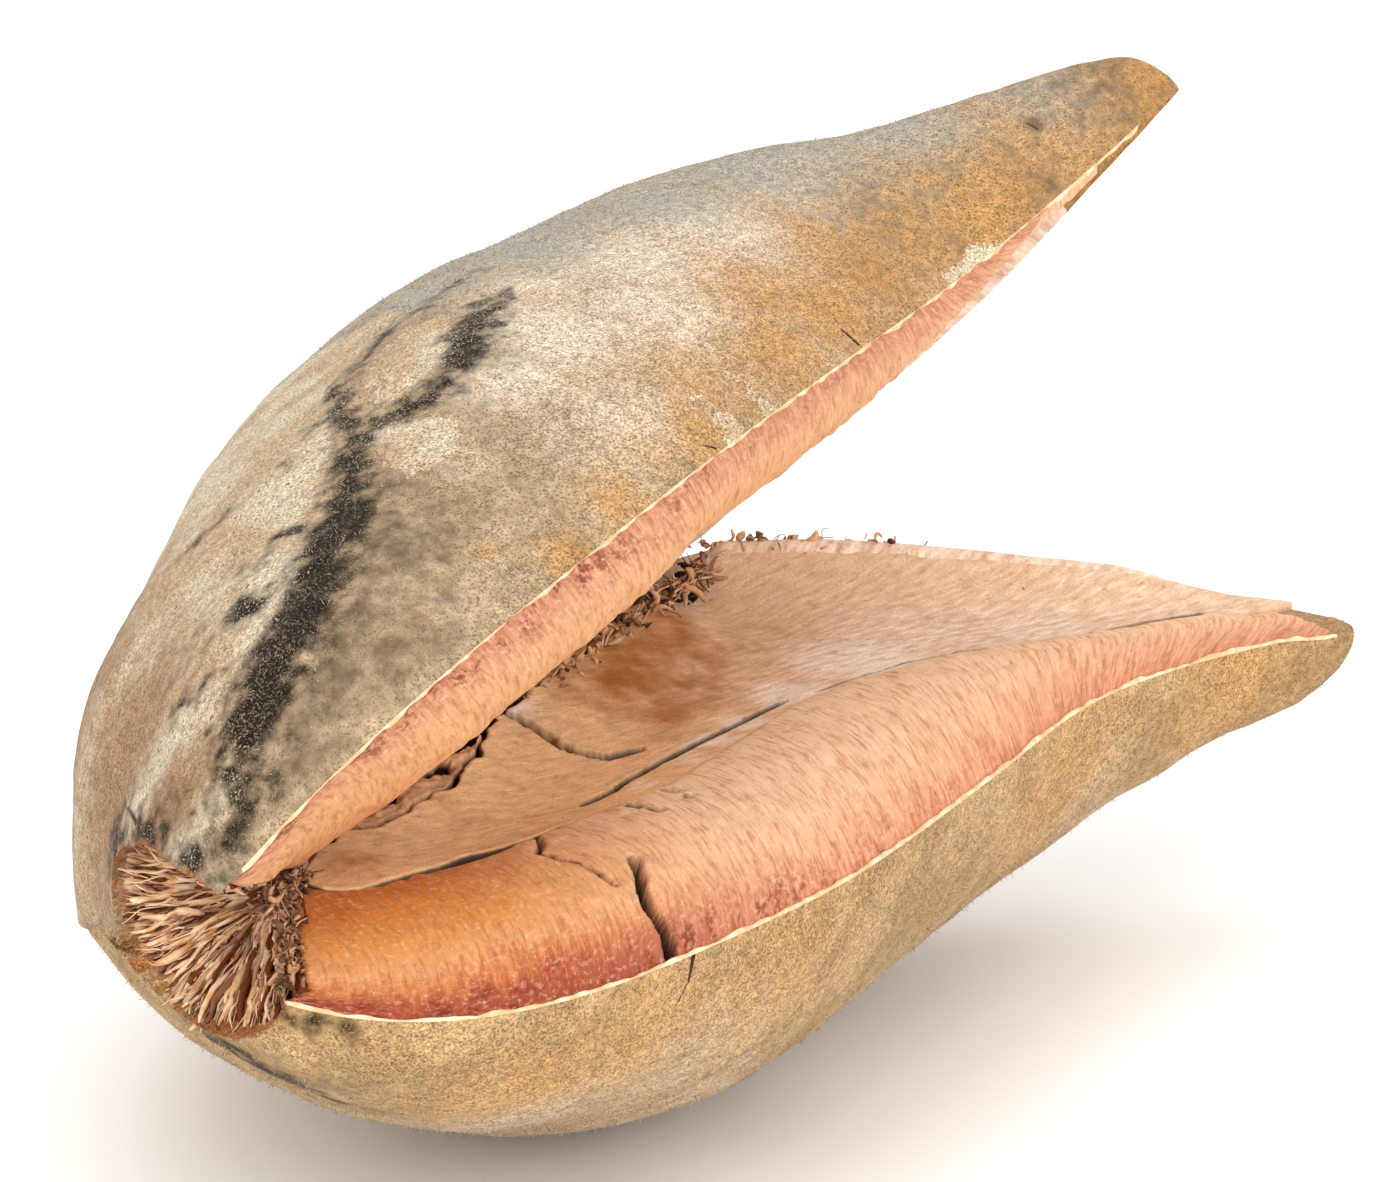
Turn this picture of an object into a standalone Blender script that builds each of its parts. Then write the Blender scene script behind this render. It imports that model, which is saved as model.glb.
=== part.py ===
"""An opened woody pear: a woody seed pod, split along its seam into two valves that stay joined at the base.

The closed pear is modelled along +X, from the broad base at x = 0 to the beaked tip, with the seam that opens
towards -Y and the plane of the split at z = 0. The two valves are turned apart about a slanting line deep in
the wood, fused, and laid down on a small flat spot.
"""
import math

import bmesh
import bpy
import numpy as np
from mathutils import Matrix, Vector

MM = 0.001

# The closed pear
LENGTH = 85 * MM
STATIONS = np.array([0.06, 0.22, 0.40, 0.58, 0.75, 0.88, 0.97])
HALF_WIDTHS = np.array([23.5, 23.2, 22.7, 19.2, 13.4, 9.8, 7.8]) * MM
HALF_DEPTHS = np.array([14.4, 17.4, 19.9, 19.4, 17.3, 13.6, 12.8]) * MM
BOW = 15.1 * MM
BOW_LEAN = -0.5 * MM
TUCK = 1.5 * MM
TUCK_END = 60 * MM
TUCK_RUN_IN = 5 * MM
TUCK_RUN_OUT = 14 * MM
RINGS = 34
RING_POINTS = 36

# The opening
HINGE_OFFSET = 2.8 * MM
HINGE_SLANT = math.radians(19)
OPENING = math.radians(58)
TIP_OFFSET = 0.15 * MM

# The split face of a valve
FACE_STEPS = 34
SEAT_STATIONS = np.array([0, 10, 15, 27, 33, 41, 49, 56, 63, 69, 75, 85]) * MM
SEAT_EDGE = np.array([6.0, 5.0, 3.0, 3.2, 3.7, 5.6, 7.5, 7.7, 6.9, 5.5, 4.3, 2.4]) * MM
SEAT_START = 9 * MM
SEAT_END = 84 * MM
SEAT_RUN_IN = 6 * MM
SEAT_DEPTH = 2.4 * MM
STEP_DEPTH = 1.2 * MM
STEP_RUN = 0.5 * MM
WOOD_BULGE = 0.9 * MM
FAR_WALL = 0.9 * MM
OVERHANG = 4 * MM
LEAST_HALF_FACE = 3 * MM
BLOCK_REACH = 30 * MM

# The stalk scar
SCAR_CENTRE = Vector((1.2, 3.6, 0.2)) * MM
SCAR_HALF_WIDTH = 5.8 * MM
SCAR_HALF_HEIGHT = 4.5 * MM
THROAT = Vector((8.6, 4.9, -0.2)) * MM
FIBRE_RIDGES = 19
RIDGE_HEIGHT = 0.2
THROAT_SHARE = 0.1
CONE_OVERRUN = 1.5
PLUG_CENTRE = Vector((3.4, 2.4, 0)) * MM
PLUG_RADII = Vector((3.2, 4.2, 3.0)) * MM

# Drying cracks in the lower valve's face: the points of each line, its width and its depth
CRACKS = {
    "wood_crack": (((24.0, -2.6), (21.5, -5.4), (20.4, -7.6), (18.3, -10.2), (16.8, -12.6)), 0.8, 3.6),
    "inner_wood_crack": (((23.0, 3.2), (21.2, 0.8), (21.4, -1.6), (20.9, -4.2)), 0.4, 1.6),
    "seat_crack": (((32.5, 13.4), (32.8, 11.1), (33.1, 9.5), (34.1, 8.2), (36.2, 7.9)), 0.55, 4.2),
    "seat_edge_crack": (((28.6, 4.7), (32.2, 5.4), (35.9, 6.3), (43.2, 7.1), (47.0, 7.9)), 0.6, 3.4),
    "rim_crack": (((56.0, 7.7), (62.7, 7.0), (68.9, 5.6), (73.9, 4.6)), 0.45, 3.0),
}
CREVICE_START = 16 * MM
CREVICE_END = 59 * MM
CREVICE_WIDTH = 1.1 * MM

# Torn bits that stand along the lower valve's far edge
TORN_BITS = 6
TORN_START = 56.5 * MM
TORN_SPACING = 2.3 * MM
TORN_RADIUS = 0.9 * MM

# The pose on the ground
ROLL = math.radians(-19.1)
PITCH = math.radians(-7.4)
FLAT_DEPTH = 0.45 * MM
FLAT_BLOCK = 0.12

WOOD_COLOR = (0.46, 0.33, 0.20, 1.0)
WOOD_ROUGHNESS = 0.9


def clear_scene():
    """Empties the file."""
    for obj in list(bpy.data.objects):
        bpy.data.objects.remove(obj, do_unlink=True)


def smooth(x, stations, values):
    """A smooth curve through the values at the stations, level outside them."""
    slopes = np.gradient(values, stations)
    i = np.clip(np.searchsorted(stations, x) - 1, 0, len(stations) - 2)
    step = stations[i + 1] - stations[i]
    t = np.clip((x - stations[i]) / step, 0, 1)
    rise = values[i] * (1 + 2 * t) * (1 - t) ** 2 + values[i + 1] * t * t * (3 - 2 * t)
    return rise + step * (slopes[i] * t * (1 - t) ** 2 - slopes[i + 1] * t * t * (1 - t))


def fade(x, start, run):
    """0 before start and 1 after start + run, with level ends."""
    t = np.clip((x - start) / run, 0, 1)
    return t * t * (3 - 2 * t)


def centre_line(s):
    """How far the pear's middle bows away from the seam, at a fraction s of its length."""
    return BOW * np.sin(math.pi * s) + BOW_LEAN * np.sin(2 * math.pi * s)


def far_tuck(x):
    """How far the far edges are drawn in where the valves stay joined, so that neither stands proud."""
    return TUCK * (1 - fade(x, TUCK_END - TUCK_RUN_OUT, TUCK_RUN_OUT)) * fade(x, 0, TUCK_RUN_IN)


def side_edges(x):
    """The y of the near and the far edge of the split face, kept apart past the pear's two ends."""
    s = np.clip(x / LENGTH, 0, 1)
    half = 2 * np.sqrt(s * (1 - s)) * smooth(s, STATIONS, HALF_WIDTHS)
    half = np.maximum(half, LEAST_HALF_FACE)
    return centre_line(s) - half, centre_line(s) + half - far_tuck(x)


def set_points(bm, points):
    """Moves the vertices to the rows of an array."""
    for vertex, point in zip(bm.verts, points):
        vertex.co = point


def points_of(bm):
    """The vertices as an array, a row each."""
    return np.array([vertex.co[:] for vertex in bm.verts])


def new_object(name, bm, collection, frame=None):
    """An object with the mesh, in the collection, moved by the frame empty."""
    bmesh.ops.recalc_face_normals(bm, faces=bm.faces)
    if bm.calc_volume(signed=True) < 0:
        bmesh.ops.reverse_faces(bm, faces=bm.faces)
    mesh = bpy.data.meshes.new(name)
    bm.to_mesh(mesh)
    bm.free()
    obj = bpy.data.objects.new(name, mesh)
    obj.parent = frame
    collection.objects.link(obj)
    return obj


def as_cutter(obj):
    """Marks an object that only shapes another."""
    obj.display_type = "WIRE"
    obj.hide_render = True
    return obj


def shape_with(obj, other, operation):
    """Cuts obj with another object, or joins them."""
    modifier = obj.modifiers.new(f"{operation.lower()} {other.name}", "BOOLEAN")
    modifier.operation = operation
    modifier.solver = "MANIFOLD"
    modifier.object = other


def closed_pear():
    """The whole pear: a sphere drawn out along X, with its own width and depth at each ring."""
    bm = bmesh.new()
    bmesh.ops.create_uvsphere(bm, u_segments=RING_POINTS, v_segments=RINGS, radius=1)
    ball = points_of(bm)
    s = (1 - ball[:, 2]) / 2
    farness = np.clip(-ball[:, 0] / np.maximum(np.hypot(ball[:, 0], ball[:, 1]), 1e-9), 0, 1)
    y = centre_line(s) - ball[:, 0] * smooth(s, STATIONS, HALF_WIDTHS)
    y -= far_tuck(LENGTH * s) * farness ** 6
    z = ball[:, 1] * smooth(s, STATIONS, HALF_DEPTHS)
    set_points(bm, np.stack([LENGTH * s, y, z], 1))
    return bm


def face_block(side):
    """What is cut away to leave one valve: a block whose face is the valve's split face in reverse.

    Across the face, from the seam to the far side, it is a low swell of wood, a step down to the hollow where
    the seeds lay, and a thin far wall. side is 1 for the upper valve and -1 for the lower one.
    """
    near_rows = ((-OVERHANG, 0.0), (0.0, 0.0))
    bulge_rows = (0.2, 0.45, 0.7, 0.92)
    seat_rows = (0.15, 0.4, 0.7, 0.9)
    row_count = len(near_rows) + len(bulge_rows) + 2 + len(seat_rows) + 2
    bm = bmesh.new()
    bmesh.ops.create_grid(bm, x_segments=FACE_STEPS, y_segments=row_count - 1, size=0.5)
    grid = points_of(bm)
    x = (grid[:, 0] + 0.5) * (LENGTH + 2 * OVERHANG) - OVERHANG
    row = np.rint((grid[:, 1] + 0.5) * (row_count - 1)).astype(int)
    near, far = side_edges(x)
    crest = np.clip(smooth(x, SEAT_STATIONS, SEAT_EDGE), near + STEP_RUN, far - 2 * STEP_RUN)
    foot = crest + STEP_RUN
    rim = np.maximum(far - FAR_WALL, foot + STEP_RUN)
    seat = fade(x, SEAT_START, SEAT_RUN_IN) * (1 - fade(x, SEAT_END - SEAT_RUN_IN, SEAT_RUN_IN))
    across = [near + shift for shift, _ in near_rows]
    depth = [near * 0 for _ in near_rows]
    for part in bulge_rows:
        across.append(near + part * (crest - near))
        depth.append(-WOOD_BULGE * math.sin(math.pi * part) * fade(crest - near, 0, 4 * STEP_RUN))
    across += [crest, foot]
    depth += [near * 0, STEP_DEPTH * seat]
    for part in seat_rows:
        across.append(foot + part * (rim - foot))
        hollow = (SEAT_DEPTH - STEP_DEPTH / 2) * math.sin(math.pi * part)
        depth.append((STEP_DEPTH * (1 - part) + hollow) * seat)
    across += [rim, far + OVERHANG]
    depth += [near * 0, near * 0]
    pick = np.arange(len(x))
    y = np.array(across)[row, pick]
    z = np.array(depth)[row, pick] * side
    set_points(bm, np.stack([x, y, z], 1))
    sides = bmesh.ops.extrude_face_region(bm, geom=bm.faces[:])
    for item in sides["geom"]:
        if isinstance(item, bmesh.types.BMVert):
            item.co.z = -side * BLOCK_REACH
    return bm


def valve_turn(side):
    """The turn that opens a valve, by half of the opening, about the slanting line where the two join."""
    start = Matrix.Translation((0, HINGE_OFFSET, 0))
    axis = Vector((math.cos(HINGE_SLANT), math.sin(HINGE_SLANT), 0))
    turn = start @ Matrix.Rotation(-side * OPENING / 2, 4, axis) @ start.inverted()
    return turn @ Matrix.Translation((side * TIP_OFFSET, 0, 0))


def make_valve(name, side, parts, cutters, frame):
    """One valve, turned open: the closed pear less the block on the other side of its split face."""
    valve = new_object(name, closed_pear(), parts, frame)
    block = as_cutter(new_object(f"{name}_face_block", face_block(side), cutters, frame))
    valve.matrix_local = valve_turn(side)
    block.matrix_local = valve_turn(side)
    shape_with(valve, block, "DIFFERENCE")
    return valve


def make_crack(name, points, width, depth, cutters, frame):
    """A blade along a line in the plane of the split: a bevelled curve, thin at its ends, drawn out deep."""
    curve = bpy.data.curves.new(name, "CURVE")
    curve.dimensions = "3D"
    curve.bevel_depth = width / 2
    curve.bevel_resolution = 0
    curve.use_fill_caps = True
    spline = curve.splines.new("POLY")
    spline.points.add(len(points) - 1)
    for i, (x, y) in enumerate(points):
        spline.points[i].co = (x, y, 0, 1)
        spline.points[i].radius = 0.3 + 0.7 * math.sin(math.pi * (i + 0.5) / len(points))
    guide = bpy.data.objects.new(name, curve)
    cutters.objects.link(guide)
    shaped = guide.evaluated_get(bpy.context.evaluated_depsgraph_get())
    bm = bmesh.new()
    bm.from_mesh(bpy.data.meshes.new_from_object(shaped))
    bpy.data.objects.remove(guide, do_unlink=True)
    bmesh.ops.remove_doubles(bm, verts=bm.verts, dist=1e-6)
    bmesh.ops.scale(bm, vec=(1, 1, depth / (width / 2)), verts=bm.verts)
    return as_cutter(new_object(name, bm, cutters, frame))


def cut_cracks(pod, cutters, frame):
    """The drying cracks of the lower valve, and the crevice along the line where the valves stay joined."""
    for name, (line, width, depth) in CRACKS.items():
        points = [(x * MM, y * MM) for x, y in line]
        crack = make_crack(name, points, width * MM, depth * MM, cutters, frame)
        crack.matrix_local = valve_turn(-1)
        shape_with(pod, crack, "DIFFERENCE")
    along = np.linspace(CREVICE_START, CREVICE_END, 7)
    points = [(x, HINGE_OFFSET + math.tan(HINGE_SLANT) * x) for x in along]
    crevice = make_crack("crevice", points, CREVICE_WIDTH, CREVICE_WIDTH / 2, cutters, frame)
    shape_with(pod, crevice, "DIFFERENCE")


def add_torn_bits(pod, cutters, frame):
    """Small torn lumps fused to the far edge of the lower valve, just past where the valves part."""
    for i in range(TORN_BITS):
        x = TORN_START + TORN_SPACING * i
        bm = bmesh.new()
        bmesh.ops.create_icosphere(bm, subdivisions=1, radius=TORN_RADIUS * (1 - 0.35 * (i % 3) / 2))
        bit = as_cutter(new_object(f"torn_bit_{i}", bm, cutters, frame))
        far = float(side_edges(np.array([x]))[1][0])
        bit.matrix_local = valve_turn(-1) @ Matrix.Translation((x, far - TORN_RADIUS, -TORN_RADIUS / 3))
        shape_with(pod, bit, "UNION")


def make_scar(cutters, frame):
    """The torn wood that fills the corner of the mouth, and the ridged funnel where the stalk tore out."""
    bm = bmesh.new()
    bmesh.ops.create_icosphere(bm, subdivisions=3, radius=1)
    set_points(bm, points_of(bm) * np.array(PLUG_RADII) + np.array(PLUG_CENTRE))
    plug = as_cutter(new_object("torn_plug", bm, cutters, frame))
    bm = bmesh.new()
    bmesh.ops.create_cone(
        bm, cap_ends=True, segments=2 * FIBRE_RIDGES, radius1=THROAT_SHARE, radius2=1, depth=1,
    )
    cone = points_of(bm)
    angle = np.arctan2(cone[:, 1], cone[:, 0])
    ridged = 1 + RIDGE_HEIGHT * np.cos(FIBRE_RIDGES * angle)
    down = (cone[:, 2] + 0.5)[:, None] * CONE_OVERRUN
    spread = np.stack([angle * 0, cone[:, 0] * SCAR_HALF_WIDTH, cone[:, 1] * SCAR_HALF_HEIGHT], 1)
    line = np.array(THROAT) + down * np.array(SCAR_CENTRE - THROAT)
    set_points(bm, line + spread * ridged[:, None] * CONE_OVERRUN)
    funnel = as_cutter(new_object("scar_funnel", bm, cutters, frame))
    return plug, funnel


def lay_down(obj, frame, cutters):
    """Turns the pod as it lies, centres it over the origin and cuts a small flat spot at the ground."""
    frame.rotation_euler = (ROLL, PITCH, 0)
    bpy.context.view_layer.update()
    shaped = obj.evaluated_get(bpy.context.evaluated_depsgraph_get())
    corners = np.array([shaped.matrix_world @ vertex.co for vertex in shaped.data.vertices])
    low, high = corners.min(0), corners.max(0)
    frame.location = (-(low[0] + high[0]) / 2, -(low[1] + high[1]) / 2, -low[2] - FLAT_DEPTH)
    bm = bmesh.new()
    bmesh.ops.create_cube(bm, size=FLAT_BLOCK)
    ground = as_cutter(new_object("ground_block", bm, cutters))
    ground.location = (0, 0, -FLAT_BLOCK / 2)
    shape_with(obj, ground, "DIFFERENCE")


def paint(obj):
    """The material of the whole pod."""
    material = bpy.data.materials.new("weathered_wood")
    material.use_nodes = True
    shader = material.node_tree.nodes["Principled BSDF"]
    shader.inputs["Base Color"].default_value = WOOD_COLOR
    shader.inputs["Roughness"].default_value = WOOD_ROUGHNESS
    obj.data.materials.append(material)
    obj.data.shade_smooth()
    obj.data.set_sharp_from_angle(angle=math.radians(35))


def main():
    clear_scene()
    parts = bpy.data.collections.new("woody_pear")
    cutters = bpy.data.collections.new("cutters")
    for collection in (parts, cutters):
        bpy.context.scene.collection.children.link(collection)
    frame = bpy.data.objects.new("pear_axes", None)
    parts.objects.link(frame)
    pod = make_valve("woody_pear", -1, parts, cutters, frame)
    upper = as_cutter(make_valve("upper_valve", 1, cutters, cutters, frame))
    plug, funnel = make_scar(cutters, frame)
    cut_cracks(pod, cutters, frame)
    add_torn_bits(pod, cutters, frame)
    shape_with(pod, upper, "UNION")
    shape_with(pod, plug, "UNION")
    shape_with(pod, funnel, "DIFFERENCE")
    lay_down(pod, frame, cutters)
    paint(pod)


main()
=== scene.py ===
"""The opened woody pear: the felted skin, split wood, seed lining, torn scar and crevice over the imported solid.

All shapes are worked out in millimetres in the pear's own axes, as in the part's source: +X from the broad base
to the beaked tip, the seam that opens towards -Y, and the plane of the split at z = 0. Each valve is then turned
open about the slanting line where the two join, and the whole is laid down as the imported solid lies.
"""
import math

import bpy
import numpy as np
from mathutils import Matrix, Vector


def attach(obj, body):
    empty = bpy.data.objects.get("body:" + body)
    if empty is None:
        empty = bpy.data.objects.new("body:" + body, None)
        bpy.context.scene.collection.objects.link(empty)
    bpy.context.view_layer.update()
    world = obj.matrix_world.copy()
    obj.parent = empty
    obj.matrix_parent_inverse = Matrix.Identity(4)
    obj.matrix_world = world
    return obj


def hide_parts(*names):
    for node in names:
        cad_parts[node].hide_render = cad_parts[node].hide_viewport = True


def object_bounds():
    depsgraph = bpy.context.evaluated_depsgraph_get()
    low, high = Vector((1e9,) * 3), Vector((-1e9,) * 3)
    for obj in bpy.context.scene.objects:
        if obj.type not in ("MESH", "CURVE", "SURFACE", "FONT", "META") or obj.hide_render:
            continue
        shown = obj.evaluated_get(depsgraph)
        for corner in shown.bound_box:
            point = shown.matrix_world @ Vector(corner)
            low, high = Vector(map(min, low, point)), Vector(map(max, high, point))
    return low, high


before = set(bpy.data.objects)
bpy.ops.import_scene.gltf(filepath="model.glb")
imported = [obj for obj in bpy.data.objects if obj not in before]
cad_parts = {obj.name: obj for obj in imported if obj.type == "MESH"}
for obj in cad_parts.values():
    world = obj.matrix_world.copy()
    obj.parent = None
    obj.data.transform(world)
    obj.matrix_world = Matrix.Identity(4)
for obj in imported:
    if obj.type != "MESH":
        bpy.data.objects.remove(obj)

cad_low, cad_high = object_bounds()

MM = 0.001

# The closed pear and its opening, with the same values as the part's source, in mm
LENGTH = 85.0
STATIONS = np.array([0.06, 0.22, 0.40, 0.58, 0.75, 0.88, 0.97])
HALF_WIDTHS = np.array([23.5, 23.2, 22.7, 19.2, 13.4, 9.8, 7.8])
HALF_DEPTHS = np.array([14.4, 17.4, 19.9, 19.4, 17.3, 13.6, 12.8])
BOW, BOW_LEAN = 15.1, -0.5
TUCK, TUCK_END, TUCK_RUN_IN, TUCK_RUN_OUT = 1.5, 60.0, 5.0, 14.0
HINGE_OFFSET, HINGE_SLANT = 2.8, math.radians(19)
OPENING, TIP_OFFSET = math.radians(58), 0.15
SEAT_STATIONS = np.array([0, 10, 15, 27, 33, 41, 49, 56, 63, 69, 75, 85.0])
SEAT_EDGE = np.array([6.0, 5.0, 3.0, 3.2, 3.7, 5.6, 7.5, 7.7, 6.9, 5.5, 4.3, 2.4])
SEAT_START, SEAT_END, SEAT_RUN_IN = 9.0, 84.0, 6.0
FAR_WALL = 0.9
THROAT = np.array([8.6, 4.9, -0.2])
ROLL, PITCH = math.radians(-19.1), math.radians(-7.4)

# The hollow of the seeds, deeper than in the solid because the lining lies over it as a piece of its own
SEAT_DEPTH, STEP_DEPTH, STEP_RUN = 3.6, 2.2, 0.5

# The scar's rim, as a distance from the throat at each angle about it, 0 towards +Y and 90 upwards. Between the
# last angle and the first lies the open mouth.
RIM_ANGLES = np.array([-159.0, -140, -118, -99, -60, -34, 9, 31, 60, 84, 110, 130, 157])
RIM_REACHES = np.array([8.2, 6.2, 4.5, 3.7, 3.2, 3.1, 4.3, 5.1, 4.9, 4.6, 5.0, 5.4, 6.6])

# The line where each valve's wood ends against the scar, as the x at each y of its face
WOOD_END = {
    1: ((-6.5, -2.1, 0.9, 4.0), (-1.5, 1.4, 6.1, 10.0)),
    -1: ((-6.5, -4.1, -0.7, 3.3, 5.5), (-1.2, 0.3, 2.7, 7.0, 9.4)),
}

# How far from the plane between the valves their skins are drawn together behind the hinge
JOIN_RUN = 5.0

# Where each tip bends away from the other, and how far, and the last of its length that the skin wraps over
TIP_BEND_START, TIP_BEND_RUN, TIP_SHORTER = 77.0, 6.0, 0.4
TIP_BEND = {1: 0.15, -1: 0.5}
WRAPPED_TIP = {1: 79.5, -1: 82.6}

# The skin's relief: the height and size of its bumps in mm, and a seed for each size
SKIN_RELIEF = ((0.28, 7.0, 3), (0.12, 2.6, 7), (0.05, 1.0, 11))

# Mounds and hollows of the skin (along in mm, angle from the seam in degrees, radius in mm, height in mm)
SKIN_MOUNDS = {
    1: ((33, 73, 8, -0.8), (50, 60, 9, -0.5), (11, 112, 8, 1.3), (5, 134, 4, -0.4), (83, 35, 3, 0.4),
        (58, 55, 2.2, 0.25), (36, 20, 5, 0.3)),
    -1: ((83, 25, 4, 0.6), (30, 60, 9, 0.3), (5, 140, 5, 0.3)),
}

# How far the split wood swells out of the plane of the split, on the upper and the lower valve
WOOD_SWELL = {1: 2.0, -1: 0.95}

# The grid of a valve: rings along it, and points around it on each zone of the section
RINGS = 316
SKIN_POINTS, RIND_POINTS, WOOD_POINTS, STEP_POINTS, LINING_POINTS, RIM_POINTS = 190, 4, 84, 6, 24, 6
RIND_WIDTH = 0.3

# The felt's longer hairs: how many on each valve, and their radius and shortest and longest length in mm
HAIRS, HAIR_RADIUS, HAIR_LENGTHS = 17500, 0.016, (0.15, 0.34)


def smooth(x, stations, values):
    """A smooth curve through the values at the stations, level outside them, as in the part's source."""
    slopes = np.gradient(values, stations)
    i = np.clip(np.searchsorted(stations, x) - 1, 0, len(stations) - 2)
    step = stations[i + 1] - stations[i]
    t = np.clip((x - stations[i]) / step, 0, 1)
    rise = values[i] * (1 + 2 * t) * (1 - t) ** 2 + values[i + 1] * t * t * (3 - 2 * t)
    return rise + step * (slopes[i] * t * (1 - t) ** 2 - slopes[i + 1] * t * t * (1 - t))


def fade(x, start, run):
    """0 before start and 1 after start + run, with level ends: 3t^2 - 2t^3."""
    t = np.clip((x - start) / run, 0, 1)
    return t * t * (3 - 2 * t)


def xyz(x, y, z=0.0):
    """Points from their coordinates, spread to one shape."""
    return np.stack(np.broadcast_arrays(x, y, z), -1)


def noise(points, size, seed):
    """Smooth value noise from -1 to 1: random values on a lattice of the given size, blended between its points."""
    lattice = np.random.default_rng(seed).uniform(-1, 1, (32, 32, 32))
    at = points / size + 0.37 * seed
    cell = np.floor(at).astype(int)
    t = at - cell
    t = t * t * (3 - 2 * t)
    value = 0
    for corner in np.ndindex(2, 2, 2):
        share = np.prod(np.where(corner, t, 1 - t), axis=-1)
        i, j, k = np.moveaxis((cell + corner) % 32, -1, 0)
        value = value + share * lattice[i, j, k]
    return value


def centre_line(s):
    """How far the pear's middle bows away from the seam: a half wave, leaned by a whole wave."""
    return BOW * np.sin(math.pi * s) + BOW_LEAN * np.sin(2 * math.pi * s)


def hinge_at(x):
    """The y of the slanting line where the valves join, at each x."""
    return HINGE_OFFSET + math.tan(HINGE_SLANT) * x


def far_tuck(x):
    """How far the far edges are drawn in where the valves stay joined."""
    return TUCK * (1 - fade(x, TUCK_END - TUCK_RUN_OUT, TUCK_RUN_OUT)) * fade(x, 0, TUCK_RUN_IN)


def skin_point(s, turn, side):
    """A point of the skin: an ellipse at each fraction s of the length, turn 0 at the seam and pi at the far edge.

    y = middle - cos(turn) r W - tuck, z = side sin(turn) r H, where r = 2 sqrt(s(1-s)) is a circle's half chord.
    """
    chord = 2 * np.sqrt(s * (1 - s))
    farness = np.clip(-np.cos(turn), 0, 1)
    y = centre_line(s) - np.cos(turn) * chord * smooth(s, STATIONS, HALF_WIDTHS)
    y = y - far_tuck(LENGTH * s) * farness ** 6
    z = side * np.sin(turn) * chord * smooth(s, STATIONS, HALF_DEPTHS)
    return xyz(LENGTH * s, y, z)


def valve_turn(side):
    """The turn that opens a valve, by half of the opening, about the slanting line where the two join."""
    start = Matrix.Translation((0, HINGE_OFFSET, 0))
    axis = Vector((math.cos(HINGE_SLANT), math.sin(HINGE_SLANT), 0))
    turn = start @ Matrix.Rotation(-side * OPENING / 2, 4, axis) @ start.inverted()
    return np.array(turn @ Matrix.Translation((side * TIP_OFFSET, 0, 0)))


def moved(matrix, points):
    """The points under a 4 x 4 matrix."""
    return points @ matrix[:3, :3].T + matrix[:3, 3]


def lay_down():
    """The matrix from the pear's axes to the floor's, in mm.

    The pod is rolled and pitched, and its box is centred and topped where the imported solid's box is.
    """
    s = (1 - np.cos(np.linspace(0, math.pi, 160)))[:, None] / 2
    turn = np.linspace(0, math.pi, 120)[None, :]
    both = [moved(valve_turn(side), skin_point(s, turn, side)).reshape(-1, 3) for side in (1, -1)]
    tilt = np.array(Matrix.Rotation(PITCH, 4, "Y") @ Matrix.Rotation(ROLL, 4, "X"))
    cloud = moved(tilt, np.concatenate(both))
    low, high = cloud.min(0), cloud.max(0)
    cad_middle = (np.array(cad_low) + np.array(cad_high)) / 2 / MM
    tilt[0, 3] = cad_middle[0] - (low[0] + high[0]) / 2
    tilt[1, 3] = cad_middle[1] - (low[1] + high[1]) / 2
    tilt[2, 3] = cad_high[2] / MM - high[2]
    return tilt


LAID = lay_down()


def put_mesh(name, points, quads, triangles, materials, zones=None, fields=None):
    """A finished piece from points in mm in the pear's axes.

    The points are laid down, kept off the ground and put in metres; zones gives each face's material and fields
    holds named values for every point, which the materials read.
    """
    at = moved(LAID, points)
    at[:, 2] = np.maximum(at[:, 2], 0.0)
    corners = np.concatenate([np.asarray(quads).ravel(), np.asarray(triangles).ravel()]).astype(np.int32)
    sizes = np.concatenate([np.full(len(quads), 4), np.full(len(triangles), 3)]).astype(np.int32)
    mesh = bpy.data.meshes.new(name)
    mesh.vertices.add(len(at))
    mesh.vertices.foreach_set("co", (at * MM).astype(np.float32).ravel())
    mesh.loops.add(len(corners))
    mesh.loops.foreach_set("vertex_index", corners)
    mesh.polygons.add(len(sizes))
    mesh.polygons.foreach_set("loop_start", (np.cumsum(sizes) - sizes).astype(np.int32))
    for material in materials:
        mesh.materials.append(material)
    if zones is not None:
        mesh.polygons.foreach_set("material_index", zones.astype(np.int32))
    mesh.polygons.foreach_set("use_smooth", np.ones(len(sizes), bool))
    for field, values in (fields or {}).items():
        kind = "FLOAT" if values.ndim == 1 else "FLOAT_VECTOR"
        layer = mesh.attributes.new(field, kind, "POINT")
        layer.data.foreach_set("value" if values.ndim == 1 else "vector", values.astype(np.float32).ravel())
    mesh.update()
    mesh.validate()
    piece = bpy.data.objects.new(name, mesh)
    bpy.context.scene.collection.objects.link(piece)
    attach(piece, "root")
    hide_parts("woody_pear")
    return piece


def tube_faces(rings, around):
    """The faces of a closed tube: quads between its rings, and a fan to a pole at each end.

    The poles are the last two points. Returns the quads and the triangles.
    """
    ring = np.arange(rings - 1)[:, None] * around
    here = np.arange(around)[None, :]
    after = (here + 1) % around
    quads = np.stack([ring + here, ring + after, ring + around + after, ring + around + here], -1).reshape(-1, 4)
    start, end = rings * around, rings * around + 1
    last = (rings - 1) * around
    first_fan = np.stack([here[0] * 0 + start, after[0], here[0]], -1)
    last_fan = np.stack([here[0] * 0 + end, last + here[0], last + after[0]], -1)
    return quads, np.concatenate([first_fan, last_fan])


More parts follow.
